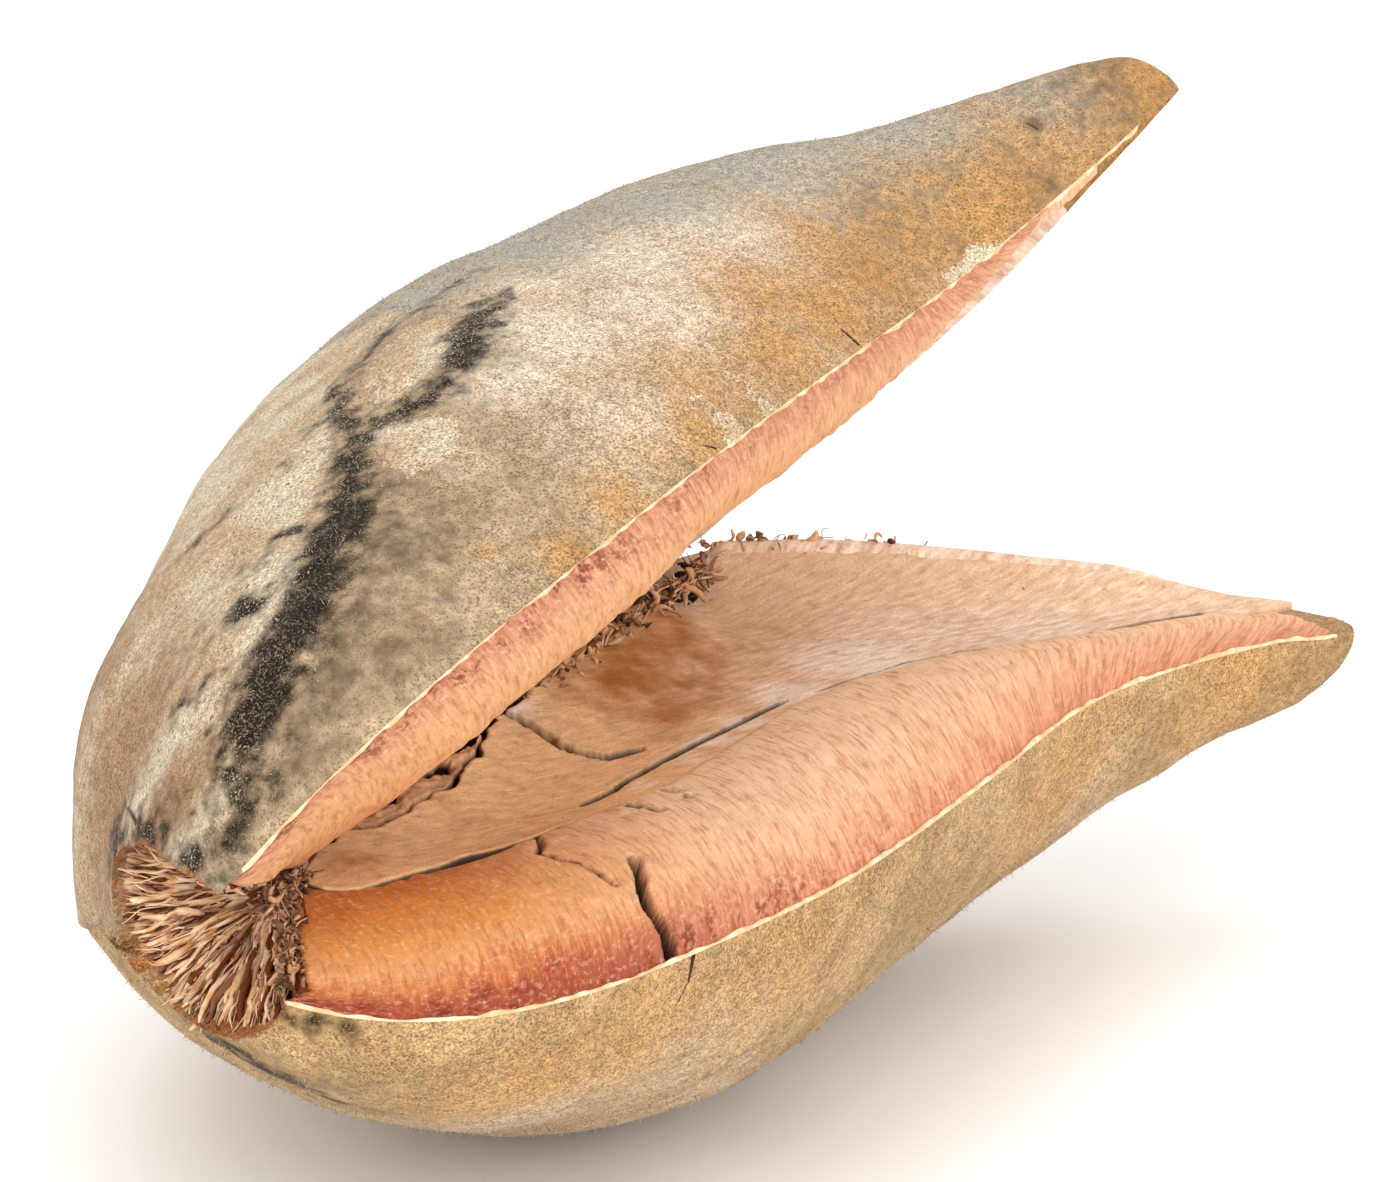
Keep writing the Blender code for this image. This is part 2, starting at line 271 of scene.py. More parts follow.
def distance_to(line, x, y):
    """The distance in mm from each (x, y) to a broken line."""
    line = np.array(line, float)
    best = np.full(x.shape, 1e9)
    for (ax, ay), (bx, by) in zip(line[:-1], line[1:]):
        dx, dy = bx - ax, by - ay
        t = np.clip(((x - ax) * dx + (y - ay) * dy) / (dx * dx + dy * dy), 0, 1)
        best = np.minimum(best, np.hypot(x - ax - t * dx, y - ay - t * dy))
    return best


def skin_girth(x):
    """The mean radius of the pear in mm at each x, which turns an angle round it into a length."""
    s = np.clip(x / LENGTH, 0, 1)
    return np.sqrt(s * (1 - s)) * (smooth(s, STATIONS, HALF_WIDTHS) + smooth(s, STATIONS, HALF_DEPTHS))


def spots(x, y, marks):
    """The strongest of some soft round spots, each (x, y, radius, strength), falling off as exp(-d^2)."""
    value = np.zeros(np.broadcast(x, y).shape)
    for at_x, at_y, reach, strength in marks:
        d2 = ((x - at_x) ** 2 + (y - at_y) ** 2) / reach ** 2
        value = np.maximum(value, strength * np.exp(-d2))
    return value


def strokes(x, y, chains):
    """How deep inside the nearest stroke, in mm: its radius less the distance to its line, negative outside.

    Each chain is a list of (x, y, radius), and the radius runs evenly from one point to the next.
    """
    value = np.full(np.broadcast(x, y).shape, -9.0)
    for chain in chains:
        for (ax, ay, ar), (bx, by, br) in zip(chain, chain[1:] or chain):
            dx, dy = bx - ax, by - ay
            t = np.clip(((x - ax) * dx + (y - ay) * dy) / max(dx * dx + dy * dy, 1e-9), 0, 1)
            value = np.maximum(value, ar + t * (br - ar) - np.hypot(x - ax - t * dx, y - ay - t * dy))
    return value


def inside(x, y, outline):
    """How far inside a closed outline, in mm: the distance to it, negative outside by the even-odd rule."""
    within = np.zeros(np.broadcast(x, y).shape, bool)
    for (ax, ay), (bx, by) in zip(outline, outline[1:] + outline[:1]):
        crosses = (ay > y) != (by > y)
        within ^= crosses & (x < ax + (y - ay) * (bx - ax) / (by - ay if by != ay else 1e-9))
    apart = distance_to(outline + outline[:1], x, y)
    return np.where(within, apart, -apart)


def to_linear(code):
    """An sRGB hex colour as linear values."""
    parts = [int(code[i:i + 2], 16) / 255 for i in (1, 3, 5)]
    return tuple(p / 12.92 if p <= 0.04045 else ((p + 0.055) / 1.055) ** 2.4 for p in parts) + (1.0,)


def add(tree, kind, inputs=(), out=0, stops=(), **settings):
    """Adds a node and returns one of its outputs.

    kind is the node's type after the words ShaderNode. inputs gives, by socket, a value, a hex colour or the
    output that feeds it; stops are a ramp's colours.
    """
    made = tree.nodes.new("ShaderNode" + kind)
    for name, value in settings.items():
        setattr(made, name, value)
    for key, value in dict(inputs).items():
        if isinstance(value, bpy.types.NodeSocket):
            tree.links.new(value, made.inputs[key])
        else:
            made.inputs[key].default_value = to_linear(value) if isinstance(value, str) else value
    for i, (place, code) in enumerate(stops):
        elements = made.color_ramp.elements
        element = elements[i] if i < 2 else elements.new(place)
        element.position = place
        element.color = to_linear(code)
    return made.outputs[out]


def new_material(name, roughness, level):
    """A material with its one Principled shader, and how rough and how glossy that is."""
    material = bpy.data.materials.new(name)
    material.use_nodes = True
    shader = material.node_tree.nodes["Principled BSDF"]
    shader.inputs["Roughness"].default_value = roughness
    shader.inputs["Specular IOR Level"].default_value = level
    return material, material.node_tree, shader


def dress(made, colour, height, strength, distance):
    """Gives a new material its colour and its low relief, from a height and the relief's depth in mm."""
    material, tree, shader = made
    tree.links.new(colour, shader.inputs["Base Color"])
    bump = add(tree, "Bump", {"Height": height, "Strength": strength, "Distance": distance * MM})
    tree.links.new(bump, shader.inputs["Normal"])
    return material


def felted_skin(name, felt_colours, ochre, dark):
    """The skin of the pod: a dense felt of tiny dead hairs, dull and speckled.

    Where the felt has worn off it is bare, smooth and cream; black mould sits in ragged patches beside that, and
    a pale bloom, ochre and grey lie over the rest.
    """
    made = _, tree, shader = new_material(name, 0.95, 0.15)
    place = add(tree, "TexCoord", out=3)
    # Blotches of 4 mm, flecks of 1 mm and the felt's own hairs, which are 0.05 mm thick and drawn at 0.12 mm
    blotch, fleck, speck, felt = (
        add(tree, "TexNoise", {"Vector": place, "Scale": 1 / (size * MM), "Detail": detail})
        for size, detail in ((4, 6.0), (1.1, 5.0), (0.45, 3.0), (0.12, 2.0)))
    masks = {}
    for field, wander, fine, low, high in (
        ("bare", 3.6, 1.2, -0.10, 0.22), ("mould", 4.6, 3.2, -0.70, 0.75), ("dark", 1.4, 2.4, 0.30, 1.20),
        ("bloom", 0.8, 0.3, 0.10, 1.00), ("ochre", 0.9, 0.3, 0.00, 1.00), ("grey", 0.8, 0.5, 0.10, 1.00),
        ("tan", 0.8, 0.6, 0.20, 0.95), ("slit_shade", 0, 0, 0.0, 0.06),
    ):
        value = add(tree, "Attribute", attribute_name=field, out=2)
        for source, share in ((fleck, wander), (felt, fine)):
            value = add(tree, "Math", {0: source, 1: share, 2: value}, operation="MULTIPLY_ADD")
        middle = (wander + fine) / 2
        masks[field] = add(tree, "MapRange", {0: value, 1: low + middle, 2: high + middle},
                           interpolation_type="SMOOTHSTEP")
    broad, dots = (
        add(tree, "MapRange", {0: value, 1: low, 2: high}, interpolation_type="SMOOTHSTEP")
        for value, low, high in ((blotch, 0.38, 0.62), (speck, 0.60, 0.72)))
    moulded = add(tree, "MapRange", {0: felt, 1: 0.53, 2: 0.66, 3: 1.0, 4: 0.35})
    moulded = add(tree, "Math", {0: masks["mould"], 1: moulded}, operation="MULTIPLY")
    rim = add(tree, "Attribute", attribute_name="rim", out=2)
    cream = "#b89d7c"
    for share, code in ((broad, "#c9b99f"), (dots, "#7d6f5c"), (masks["tan"], "#9c7b5a")):
        cream = add(tree, "Mix", {0: share, 6: cream, 7: code}, 2, data_type="RGBA")
    # The slits' dark brown below is painted shade of thin cracks in the felt, which have no depth of their own.
    colour = felt_colours[0]
    for share, over in (
        (broad, felt_colours[1]), (masks["ochre"], ochre), (masks["bloom"], "#d3c1ab"), (masks["grey"], "#a39c8e"),
        (masks["dark"], dark), (masks["bare"], cream), (moulded, "#1c140b"), (masks["slit_shade"], "#3a2210"),
        (rim, "#9a6238"),
    ):
        colour = add(tree, "Mix", {0: share, 6: colour, 7: over}, 2, data_type="RGBA")
    for value, low, high, darkest, palest in ((felt, 0.32, 0.68, 0.44, 1.52), (speck, 0.36, 0.64, 0.82, 1.18)):
        shade = add(tree, "MapRange", {0: value, 1: low, 2: high, 3: darkest, 4: palest})
        colour = add(tree, "VectorMath", {0: colour, "Scale": shade}, operation="SCALE")
    shader.inputs["Sheen Weight"].default_value = 0.05
    shader.inputs["Sheen Roughness"].default_value = 0.5
    return dress(made, colour, felt, 0.5, 0.08)


def split_wood(name):
    """Wood split open across its rays: maroon next to the skin, then golden at the base and pale peach beyond.

    Its fine broken rays show as short streaks, drawn at 0.25 mm across, and dark red clots stand in its margin.
    """
    made = _, tree, _ = new_material(name, 0.75, 0.3)
    grain = add(tree, "Attribute", attribute_name="grain", out=1)
    depth, along, crack, pink = (add(tree, "Attribute", attribute_name=field, out=2)
                                 for field in ("from_edge", "along", "crack", "pink"))
    drawn, patch = (add(tree, "Mapping", {"Vector": grain, "Scale": scale})
                    for scale in ((4.2, 0.7, 1), (0.9, 0.5, 1)))
    streak, cloud, mottle = (
        add(tree, "TexNoise", {"Vector": place, "Scale": scale, "Detail": detail, "Roughness": rough})
        for place, scale, detail, rough in ((drawn, 1.0, 7.0, 0.7), (patch, 1.0, 5.0, 0.6), (grain, 3.0, 6.0, 0.72)))
    reach = depth
    for source, share in ((streak, 4.0), (cloud, 3.0)):
        reach = add(tree, "Math", {0: source, 1: share, 2: reach}, operation="MULTIPLY_ADD")
    reach = add(tree, "MapRange", {0: reach, 1: 3.5, 2: 15.5})
    base, far, rosy = (add(tree, "ValToRGB", {0: reach}, stops=stops) for stops in (
        ((0.0, "#9c3e28"), (1.0, "#d98030"), (0.15, "#b45236"), (0.26, "#dc874f"), (0.40, "#efac72"),
         (0.6, "#e49c50")),
        ((0.0, "#d98a64"), (1.0, "#fbd8b2"), (0.1, "#eaa47c"), (0.24, "#f5bc92"), (0.4, "#f9cca4")),
        ((0.0, "#cc7e60"), (1.0, "#eeb07c"), (0.10, "#e09e78"), (0.25, "#efb486"), (0.6, "#f2b87e"))))
    clot = add(tree, "Math", {0: cloud, 1: mottle}, operation="ADD")
    beyond, pale, ray, clot, margin = (
        add(tree, "MapRange", {0: value, 1: low, 2: high, 4: most}, interpolation_type="SMOOTHSTEP")
        for value, low, high, most in ((along, 12.0, 34.0, 1.0), (mottle, 0.50, 0.66, 0.42), (streak, 0.50, 0.36, 0.5),
                                       (clot, 0.95, 0.82, 0.75), (depth, 3.2, 0.8, 1.0)))
    fewer = add(tree, "MapRange", {0: along, 1: 22.0, 2: 52.0, 3: 1.0, 4: 0.15})
    for share in (margin, fewer):
        clot = add(tree, "Math", {0: clot, 1: share}, operation="MULTIPLY")
    # Pale flecks, then the rays themselves, golden-brown where they are thick
    colour = base
    for share, over in ((beyond, far), (pink, rosy), (pale, "#fcdfc2"), (ray, "#d4834a"), (clot, "#7a2a1c")):
        colour = add(tree, "Mix", {0: share, 6: colour, 7: over}, 2, data_type="RGBA")
    shade = add(tree, "MapRange", {0: streak, 1: 0.30, 2: 0.70, 3: 0.80, 4: 1.12})
    colour = add(tree, "VectorMath", {0: colour, "Scale": shade}, operation="SCALE")
    # The near-black mixed in here is painted shade: in the cracks, in the hollow's corner by the hinge, where the wood
    # sinks beside the scar and on what lies hidden behind the scar.
    colour = add(tree, "Mix", {0: crack, 6: colour, 7: "#2e120a"}, 2, data_type="RGBA")
    rough = add(tree, "Math", {0: mottle, 1: streak}, operation="ADD")
    return dress(made, colour, rough, 0.7, 0.2)


def seed_lining(name):
    """The papery lining of the hollow where the seeds lay: smooth, pale tan, with fine lines along it."""
    made = _, tree, _ = new_material(name, 0.6, 0.35)
    grain = add(tree, "Attribute", attribute_name="grain", out=1)
    along, stain, pale, crack = (add(tree, "Attribute", attribute_name=field, out=2)
                                 for field in ("along", "stain", "pale", "crack"))
    drawn, short = (add(tree, "Mapping", {"Vector": grain, "Scale": scale})
                    for scale in ((0.7, 2.8, 1), (0.9, 2.2, 1)))
    line, spread, speck, fleck, nap = (
        add(tree, "TexNoise", {"Vector": place, "Scale": scale, "Detail": detail, "Roughness": rough})
        for place, scale, detail, rough in ((drawn, 1.0, 5.0, 0.5), (grain, 0.5, 5.0, 0.5), (grain, 2.2, 3.0, 0.5),
                                            (short, 1.0, 6.0, 0.65), (grain, 6.0, 3.0, 0.5)))
    beyond, stained, paled = (
        add(tree, "Math", {0: source, 1: share, 2: value}, operation="MULTIPLY_ADD")
        for source, share, value in ((spread, 26.0, along), (spread, 1.6, stain), (line, 0.8, pale)))
    beyond, stained, paled, fleck, dots = (
        add(tree, "MapRange", {0: value, 1: low, 2: high, 4: most}, interpolation_type="SMOOTHSTEP")
        for value, low, high, most in ((beyond, 40.0, 76.0, 1.0), (stained, 0.85, 1.9, 1.0), (paled, 0.55, 1.3, 1.0),
                                       (fleck, 0.54, 0.68, 0.55), (speck, 0.70, 0.78, 1.0)))
    line_shade, nap_shade = (add(tree, "MapRange", {0: value, 1: 0.3, 2: 0.7, 3: darkest, 4: 1.14})
                             for value, darkest in ((line, 0.80), (nap, 0.86)))
    colour = "#edc08e"
    for share, code in ((beyond, "#dcb897"), (stained, "#a5641c"), (paled, "#efdccb")):
        colour = add(tree, "Mix", {0: share, 6: colour, 7: code}, 2, data_type="RGBA")
    colour = add(tree, "VectorMath", {0: colour, "Scale": line_shade}, operation="SCALE")
    colour = add(tree, "Mix", {0: fleck, 6: colour, 7: "#b97a48"}, 2, data_type="RGBA")
    colour = add(tree, "VectorMath", {0: colour, "Scale": nap_shade}, operation="SCALE")
    # The near-black mixed in here is painted shade: in the cracks, along the sheet's edges and on its hidden underside.
    for share, code in ((dots, "#6b4020"), (crack, "#241009")):
        colour = add(tree, "Mix", {0: share, 6: colour, 7: code}, 2, data_type="RGBA")
    return dress(made, colour, line, 0.3, 0.1)


def dry_rind(name):
    """The thin dry rind between the skin and the wood: a cream line, chalky."""
    material, tree, shader = new_material(name, 0.85, 0.3)
    place = add(tree, "TexCoord", out=3)
    spread = add(tree, "TexNoise", {"Vector": place, "Scale": 1 / (0.8 * MM), "Detail": 4.0})
    share = add(tree, "MapRange", {0: spread, 1: 0.35, 2: 0.65}, interpolation_type="SMOOTHSTEP")
    colour = add(tree, "Mix", {0: share, 6: "#dfb583", 7: "#f3dcb8"}, 2, data_type="RGBA")
    tree.links.new(colour, shader.inputs["Base Color"])
    return material


def torn_fibre(name, pale, dark_tone_and_gap_shade):
    """Wood torn apart, dull: pale where its height value is high, dark where it is low."""
    made = _, tree, _ = new_material(name, 0.85, 0.2)
    height = add(tree, "Attribute", attribute_name="height", out=2)
    place = add(tree, "TexCoord", out=3)
    spread = add(tree, "TexNoise", {"Vector": place, "Scale": 1 / (0.6 * MM), "Detail": 5.0})
    share, rise = (
        add(tree, "MapRange", {0: value, 1: low, 2: 0.7}, interpolation_type="SMOOTHSTEP")
        for value, low in ((spread, 0.3), (height, 0.2)))
    body = add(tree, "Mix", {0: share, 6: pale[0], 7: pale[1]}, 2, data_type="RGBA")
    # On the scar and the torn tissue the height value follows their relief and gaps, so the pale tops and dark gaps are
    # painted light and shade; on the strands and hairs it is a random tone for each.
    colour = add(tree, "Mix", {0: rise, 6: dark_tone_and_gap_shade, 7: body}, 2, data_type="RGBA")
    return dress(made, colour, spread, 0.6, 0.2)


# Drying cracks of the lower valve's face: the points of each line (x, y), its width and its depth
WOOD_CRACKS = (
    (((24.0, -2.6), (22.6, -4.3), (21.5, -5.4), (20.9, -6.4), (20.4, -7.6), (19.4, -9.0), (18.3, -10.2),
      (16.6, -12.6)), 0.60, 1.4),
    (((23.4, 2.9), (22.4, 1.6), (21.2, 0.8), (21.4, -1.6), (20.9, -4.2)), 0.32, 0.6),
    (((29.6, 3.3), (30.0, 1.8), (29.6, 0.2)), 0.2, 0.5),
    (((32.9, 3.6), (32.6, 2.3), (32.3, 1.2)), 0.22, 0.6),
)
LINING_CRACKS = (
    (((33.6, 14.6), (33.8, 14.0), (34.2, 12.2), (34.4, 10.6), (35.5, 9.1), (37.3, 8.9)), 0.62, 0.9),
    (((29.4, 5.3), (31.5, 5.5), (33.0, 6.0), (36.7, 6.9), (39.6, 7.4), (43.0, 7.8), (47.6, 8.5)), 0.46, 0.8),
    (((50.1, 8.2), (57.1, 8.4), (61.1, 7.9), (64.6, 6.7)), 0.20, 0.4),
    (((64.0, 6.9), (68.7, 5.9), (74.2, 5.5), (75.1, 5.2), (77.6, 4.4)), 0.34, 0.7),
)

# The skin of the upper valve, as places (along in mm, angle from the seam in degrees) with a radius in mm, or
# with a radius and a strength. The bare patches are closed outlines.
UPPER_SKIN = {
    "bare": (
        ((38, 61), (34, 60), (31, 59), (29, 56), (25, 54), (22, 51), (20, 49), (17, 50), (15, 46), (13, 44),
         (11, 46), (9, 48), (7, 52), (6, 56), (5, 50), (4, 41), (3, 33), (1, 30), (0, 60), (0, 140), (12, 150),
         (24, 120), (36, 90)),
        ((28, 52), (32, 56), (34, 52), (35, 46), (33, 42), (30, 40), (28, 42), (26, 46)),
        ((24, 46), (25, 40), (26, 34), (25, 31), (23, 29), (21, 33), (21, 38), (22, 43)),
        ((60, -2), (61, 2), (63, 1), (64.5, 3.5), (66, 1.5), (67, -2)), ((34.5, -2), (36, 7), (37, -2)),
        ((38.5, -2), (39.5, 8), (41, -2)),
    ),
    "mould": (
        ((42, 56, 0.2), (38, 55, 0.35), (35, 58, 0.35), (32, 58, 0.4), (28, 58, 0.5), (25, 51, 0.6), (23, 47, 0.7)),
        ((38, 43, 0.6), (34, 41, 1.2), (31, 39, 1.1), (28, 38, 0.9), (26, 41, 1.0), (25, 46, 0.9), (23, 47, 0.9),
         (20, 44, 1.1), (17, 41, 1.5), (14, 40, 1.5), (11, 38, 1.5), (9, 40, 1.7), (6, 40, 1.7), (5, 40, 1.3),
         (3, 37, 0.9), (2, 26, 0.5), (1, 25, 0.6)),
        ((11, 54, 0.9),), ((16, 51, 0.5),), ((25, 57, 0.45),), ((22, 58, 0.25),), ((19, 69, 0.2),),
        ((18, 75, 0.2),), ((7, 71, 0.3),), ((14, 57, 0.3),), ((10, 68, 0.2),), ((7, 64, 0.2),),
        ((5, 115, 0.2), (3, 102, 0.3), (2, 88, 0.3), (1, 71, 0.2), (0, 44, 0.2)),
    ),
    # Slits: thin cracks in the felt, drawn only as dark lines of painted shade.
    "slit_shade": (
        ((9, 105, 0.02), (5, 101, 0.07), (3, 95, 0.09)),
        ((50, 13, 0.03), (50.6, 7, 0.12), (50, 4, 0.12), (50, 1, 0.18)),
        ((33, 3.5, 0.08), (34, 0.5, 0.12)), ((75, 27, 0.16), (75, 23, 0.16)),
    ),
    "dark": (
        (15, 32, 5, 0.95), (18, 26, 4, 0.6), (11, 28, 4, 0.9), (7, 22, 4, 0.9), (10, 14, 4, 0.75),
        (4, 14, 3, 0.8), (14, 16, 4, 0.6), (26, 32, 3, 0.45), (20, 36, 3, 0.7), (22, 14, 4, 0.4),
        (31, 38, 3, 0.8), (75, 26, 0.8, 0.9), (72, 4, 0.9, 0.8), (64, 6, 1.2, 0.6), (2, 99, 1.6, 0.9),
        (1, 84, 1.6, 0.8), (4, 116, 2, 0.8), (1, 25, 1.6, 0.8), (62, 20, 5, 0.5),
        (72, 10, 5, 0.45), (80, 24, 5, 0.65), (68, 20, 3, 0.4), (57, 8, 3, 0.4),
    ),
    "bloom": (
        (35, 31, 5, 0.9), (37, 25, 4, 0.7), (41, 24, 5, 0.8), (31, 13, 4, 0.55), (30, 30, 4, 0.8), (46, 36, 6, 0.9),
        (52, 34, 6, 0.8), (40, 40, 4, 0.8), (43, 20, 4, 0.6), (60, 38, 5, 0.6), (28, 17, 4, 0.4), (22, 27, 3, 0.3),
    ),
    "ochre": (
        (39, 10, 6, 0.6), (44, 8, 5, 0.8), (48, 18, 5, 0.9), (51, 9, 5, 0.9), (57, 15, 6, 1.0), (62, 14, 5, 0.9),
        (67, 13, 6, 1.0), (31, 7, 3, 0.6), (34, 3, 3, 0.8), (26, 3, 2.5, 0.7), (21, 2, 2, 0.7), (70, 11, 6, 0.9),
        (77, 14, 6, 1.0), (82, 14, 6, 1.0), (39, 37, 1.3, 1.1), (18, 13, 0.7, 0.7),
    ),
    "grey": (
        (46, 52, 5, 0.9), (54, 50, 6, 0.9), (62, 52, 6, 0.9), (70, 50, 6, 0.8), (78, 46, 5, 0.7), (50, 70, 10, 0.9),
        (66, 75, 12, 0.9), (40, 60, 5, 0.9), (42, 44, 2.5, 0.6), (44, 90, 12, 0.7), (79, 26, 3, 0.5),
    ),
    "tan": ((2, 80, 4, 1.0), (0, 60, 3, 0.8), (7, 100, 6, 1.0), (9, 80, 4, 0.5), (4, 50, 1.5, 0.7), (14, 105, 7, 0.9),
            (20, 117, 7, 0.9)),
}
LOWER_SKIN = {
    "bare": (),
    "mould": (
        ((1, 10, 0.5), (2, 5, 0.4)), ((3, 76, 0.6), (5, 72, 0.5)), ((2, 88, 0.5), (3, 96, 0.4)), ((6, 66, 0.3),),
    ),
    # Slits as above: dark lines of painted shade.
    "slit_shade": (((20, 0, 0.2), (20, 5, 0.12), (19.6, 10, 0.1)),),
    "dark": (
        (3, 66, 3.5, 0.9), (7, 60, 3.5, 0.7), (2, 86, 2.2, 0.9), (4, 78, 2, 0.7), (1, 6, 1.2, 0.9),
        (14, 4, 3, 0.35), (42, 24, 4, 0.5), (36, 30, 4, 0.5), (52, 26, 4, 0.4), (70, 22, 5, 0.5),
        (80, 18, 4, 0.6), (84, 30, 3, 0.6), (8, 130, 6, 0.5),
    ),
    "bloom": ((24, 30, 8, 0.4), (16, 44, 6, 0.5), (30, 44, 8, 0.5), (46, 40, 8, 0.4), (66, 34, 6, 0.4)),
    "ochre": ((12, 30, 5, 0.7), (18, 16, 6, 0.6), (28, 10, 7, 0.5), (60, 12, 8, 0.6), (74, 12, 6, 0.6)),
    "grey": ((16, 90, 12, 0.6), (50, 90, 16, 0.6), (4, 60, 3, 0.4)),
    "tan": ((4, 80, 5, 0.8),),
}

# The lining of the lower valve's hollow: its inner edge against the wood, its torn outer edge near the base,
# and its stains and pale places (x, y, radius, strength)
LINING_START, LINING_END = 9.7, 83.4
INNER_EDGE = ((9.7, 4.2), (9.9, 3.2), (11.0, 2.4), (14.0, 2.4), (18.9, 3.1), (23.0, 3.1), (26.8, 3.2), (29.7, 3.3),
              (33.2, 3.7), (37.8, 4.4), (41.5, 5.6), (45.2, 6.5), (49.4, 7.4), (52.3, 7.7), (56.1, 7.4), (62.7, 6.8),
              (65.9, 6.1), (68.9, 5.4), (71.9, 4.6), (76.8, 3.6), (83.4, 2.6))
TORN_EDGE = ((9.7, 4.2), (10.1, 5.1), (12.0, 6.2), (14.4, 7.4), (16.0, 7.8), (18.1, 7.9), (20.4, 8.3), (21.9, 9.0),
             (24.6, 9.4), (26.3, 10.5), (29.0, 11.6), (30.0, 12.6), (32.5, 13.8))
LINING_STAINS = ((44, 15.5, 6, 0.9), (42, 12, 4, 0.7), (49, 18, 6, 0.8), (53, 17, 4, 0.5), (13, 4.4, 2.5, 0.5),
                 (24, 5, 5, 0.3))
LINING_PALE = ((44, 7.6, 1.6, 1.0), (49, 9, 3, 0.9), (56, 10, 5, 0.9), (62, 11, 6, 0.5), (68, 8, 6, 0.5),
               (76, 8, 8, 0.3), (35, 14.8, 1.6, 0.7), (38, 6.2, 1.6, 0.6), (41, 7.0, 1.6, 0.8), (33, 4.9, 1.4, 0.5))

# The torn tissue beside the lining: where it lies, and its splits (painted shade) as lines of (x, y, radius) on the
# face
TISSUE_START, TISSUE_END = 6.8, 57.0
TISSUE_GAPS = (
    ((6.0, 3.6, 0.7), (8.5, 5.0, 0.7), (10.5, 6.6, 0.5), (13.0, 8.0, 0.35), (14.9, 8.2, 0.25), (17.1, 8.6, 0.2)),
    ((19.8, 9.8, 0.1), (20.8, 9.8, 0.2), (22.3, 10.7, 0.15)), ((23.6, 10.9, 0.1), (25.8, 11.4, 0.3), (26.6, 11.9, 0.1)),
    ((27.4, 12.2, 0.15), (28.6, 12.8, 0.35), (30.5, 13.4, 0.4), (32.1, 13.9, 0.25), (34.3, 14.9, 0.5), (40, 16.7, 0.25),
     (47, 19.2, 0.2), (56, 22.3, 0.3)),
)


def ring_places(rings, crowded=0.0):
    """Where the rings stand as fractions of the length.

    They are even, but closer towards the two poles and, by the share crowded, about the great crack in the wood.
    """
    s = np.linspace(0, 1, 4001)
    density = 1 / (np.minimum(1, 0.05 + s / 0.07) * np.minimum(1, 0.08 + (1 - s) / 0.05))
    density = density + crowded * np.exp(-((s - 0.24) / 0.05) ** 2)
    reach = np.cumsum(density) - density[0]
    return np.interp(np.linspace(0, 1, rings + 2)[1:-1], reach / reach[-1], s)


def face_rows(s, side):
    """The rows across a valve's split face at each x: the far rim, the seeds' hollow, the step, the wood, the rind.

    The rim, the wood and the rind rise as sin(pi t) across their own widths, and the hollow is an even slope with
    such a wave below it. Returns each row's y and rise out of the plane of the split, and the y of the near edge,
    of the far edge and of the wood's crest.
    """
    x = LENGTH * s
    near = skin_point(s, 0.0, side)[..., 1]
    far = skin_point(s, math.pi, side)[..., 1]
    room = far - near
    rind = np.minimum(RIND_WIDTH, 0.05 * room)
    crest = np.clip(smooth(x, SEAT_STATIONS, SEAT_EDGE), near + 0.25 * room, far - 0.15 * room)
    foot = crest + np.minimum(STEP_RUN, 0.04 * room)
    rim = far - np.minimum(FAR_WALL, 0.05 * room)
    seat = fade(x, SEAT_START, SEAT_RUN_IN) * (1 - fade(x, SEAT_END - SEAT_RUN_IN, SEAT_RUN_IN))
    rows = []
    t = np.linspace(1, 0, RIM_POINTS + 1)[None, 1:]
    rows.append((rim + t * (far - rim), 0.12 * np.sin(math.pi * t) * fade(room, 0, 8)))
    t = np.linspace(1, 0, LINING_POINTS + 1)[None, 1:]
    hollow = STEP_DEPTH * (1 - t) + (SEAT_DEPTH - STEP_DEPTH / 2) * np.sin(math.pi * t)
    rows.append((foot + t * (rim - foot), -hollow * seat))
    t = np.linspace(1, 0, STEP_POINTS + 1)[None, 1:]
    rows.append((crest + t * (foot - crest), -STEP_DEPTH * fade(t, 0, 1) * seat))
    t = np.linspace(1, 0, WOOD_POINTS + 1)[None, 1:]
    swell = WOOD_SWELL[side] * fade(crest - near, 0, 2) * (0.3 + 0.7 * fade(x, 4, 12))
    if side > 0:
        swell = swell * (1 - 0.35 * fade(x, 30, 8)) * (1 - fade(x, 56, 20)) - 0.7 * fade(x, 70, 9)
    else:
        swell = swell * (1 - 0.8 * fade(x, 58, 24))
    rows.append((near + rind + t * (crest - near - rind), swell * np.sin(math.pi * t) ** 0.8))
    t = np.linspace(1, 0, RIND_POINTS + 1)[None, 1:-1]
    rows.append((near + t * rind, 0.1 * np.sin(math.pi * t) * fade(room, 0, 8)))
    return rows, near, far, crest


def far_edge_rise(x, side):
    """How far a valve's far edge stands above the plane of its split, in mm, from fades along x.

    The lower valve's also dips by 1.4 exp(-((x - 56.5) / 3)^2) where the two valves part.
    """
    if side > 0:
        return 1.7 * fade(x, 36, 10) * (1 - fade(x, 60, 16))
    return 0.7 * fade(x, 60, 8) * (1 - fade(x, 76, 6)) - 1.4 * np.exp(-((x - 56.5) / 3) ** 2)


def rim_reach(angle):
    """How far the scar's rim lies from its throat at an angle about it, in degrees."""
    return smooth(angle, RIM_ANGLES, RIM_REACHES)


def rim_depth(y, z):
    """The x of the skin close to its base, where the scar's rim lies: L/4 ((y/W)^2 + (z/H)^2)."""
    return LENGTH / 4 * ((y / HALF_WIDTHS[0]) ** 2 + (z / HALF_DEPTHS[0]) ** 2)


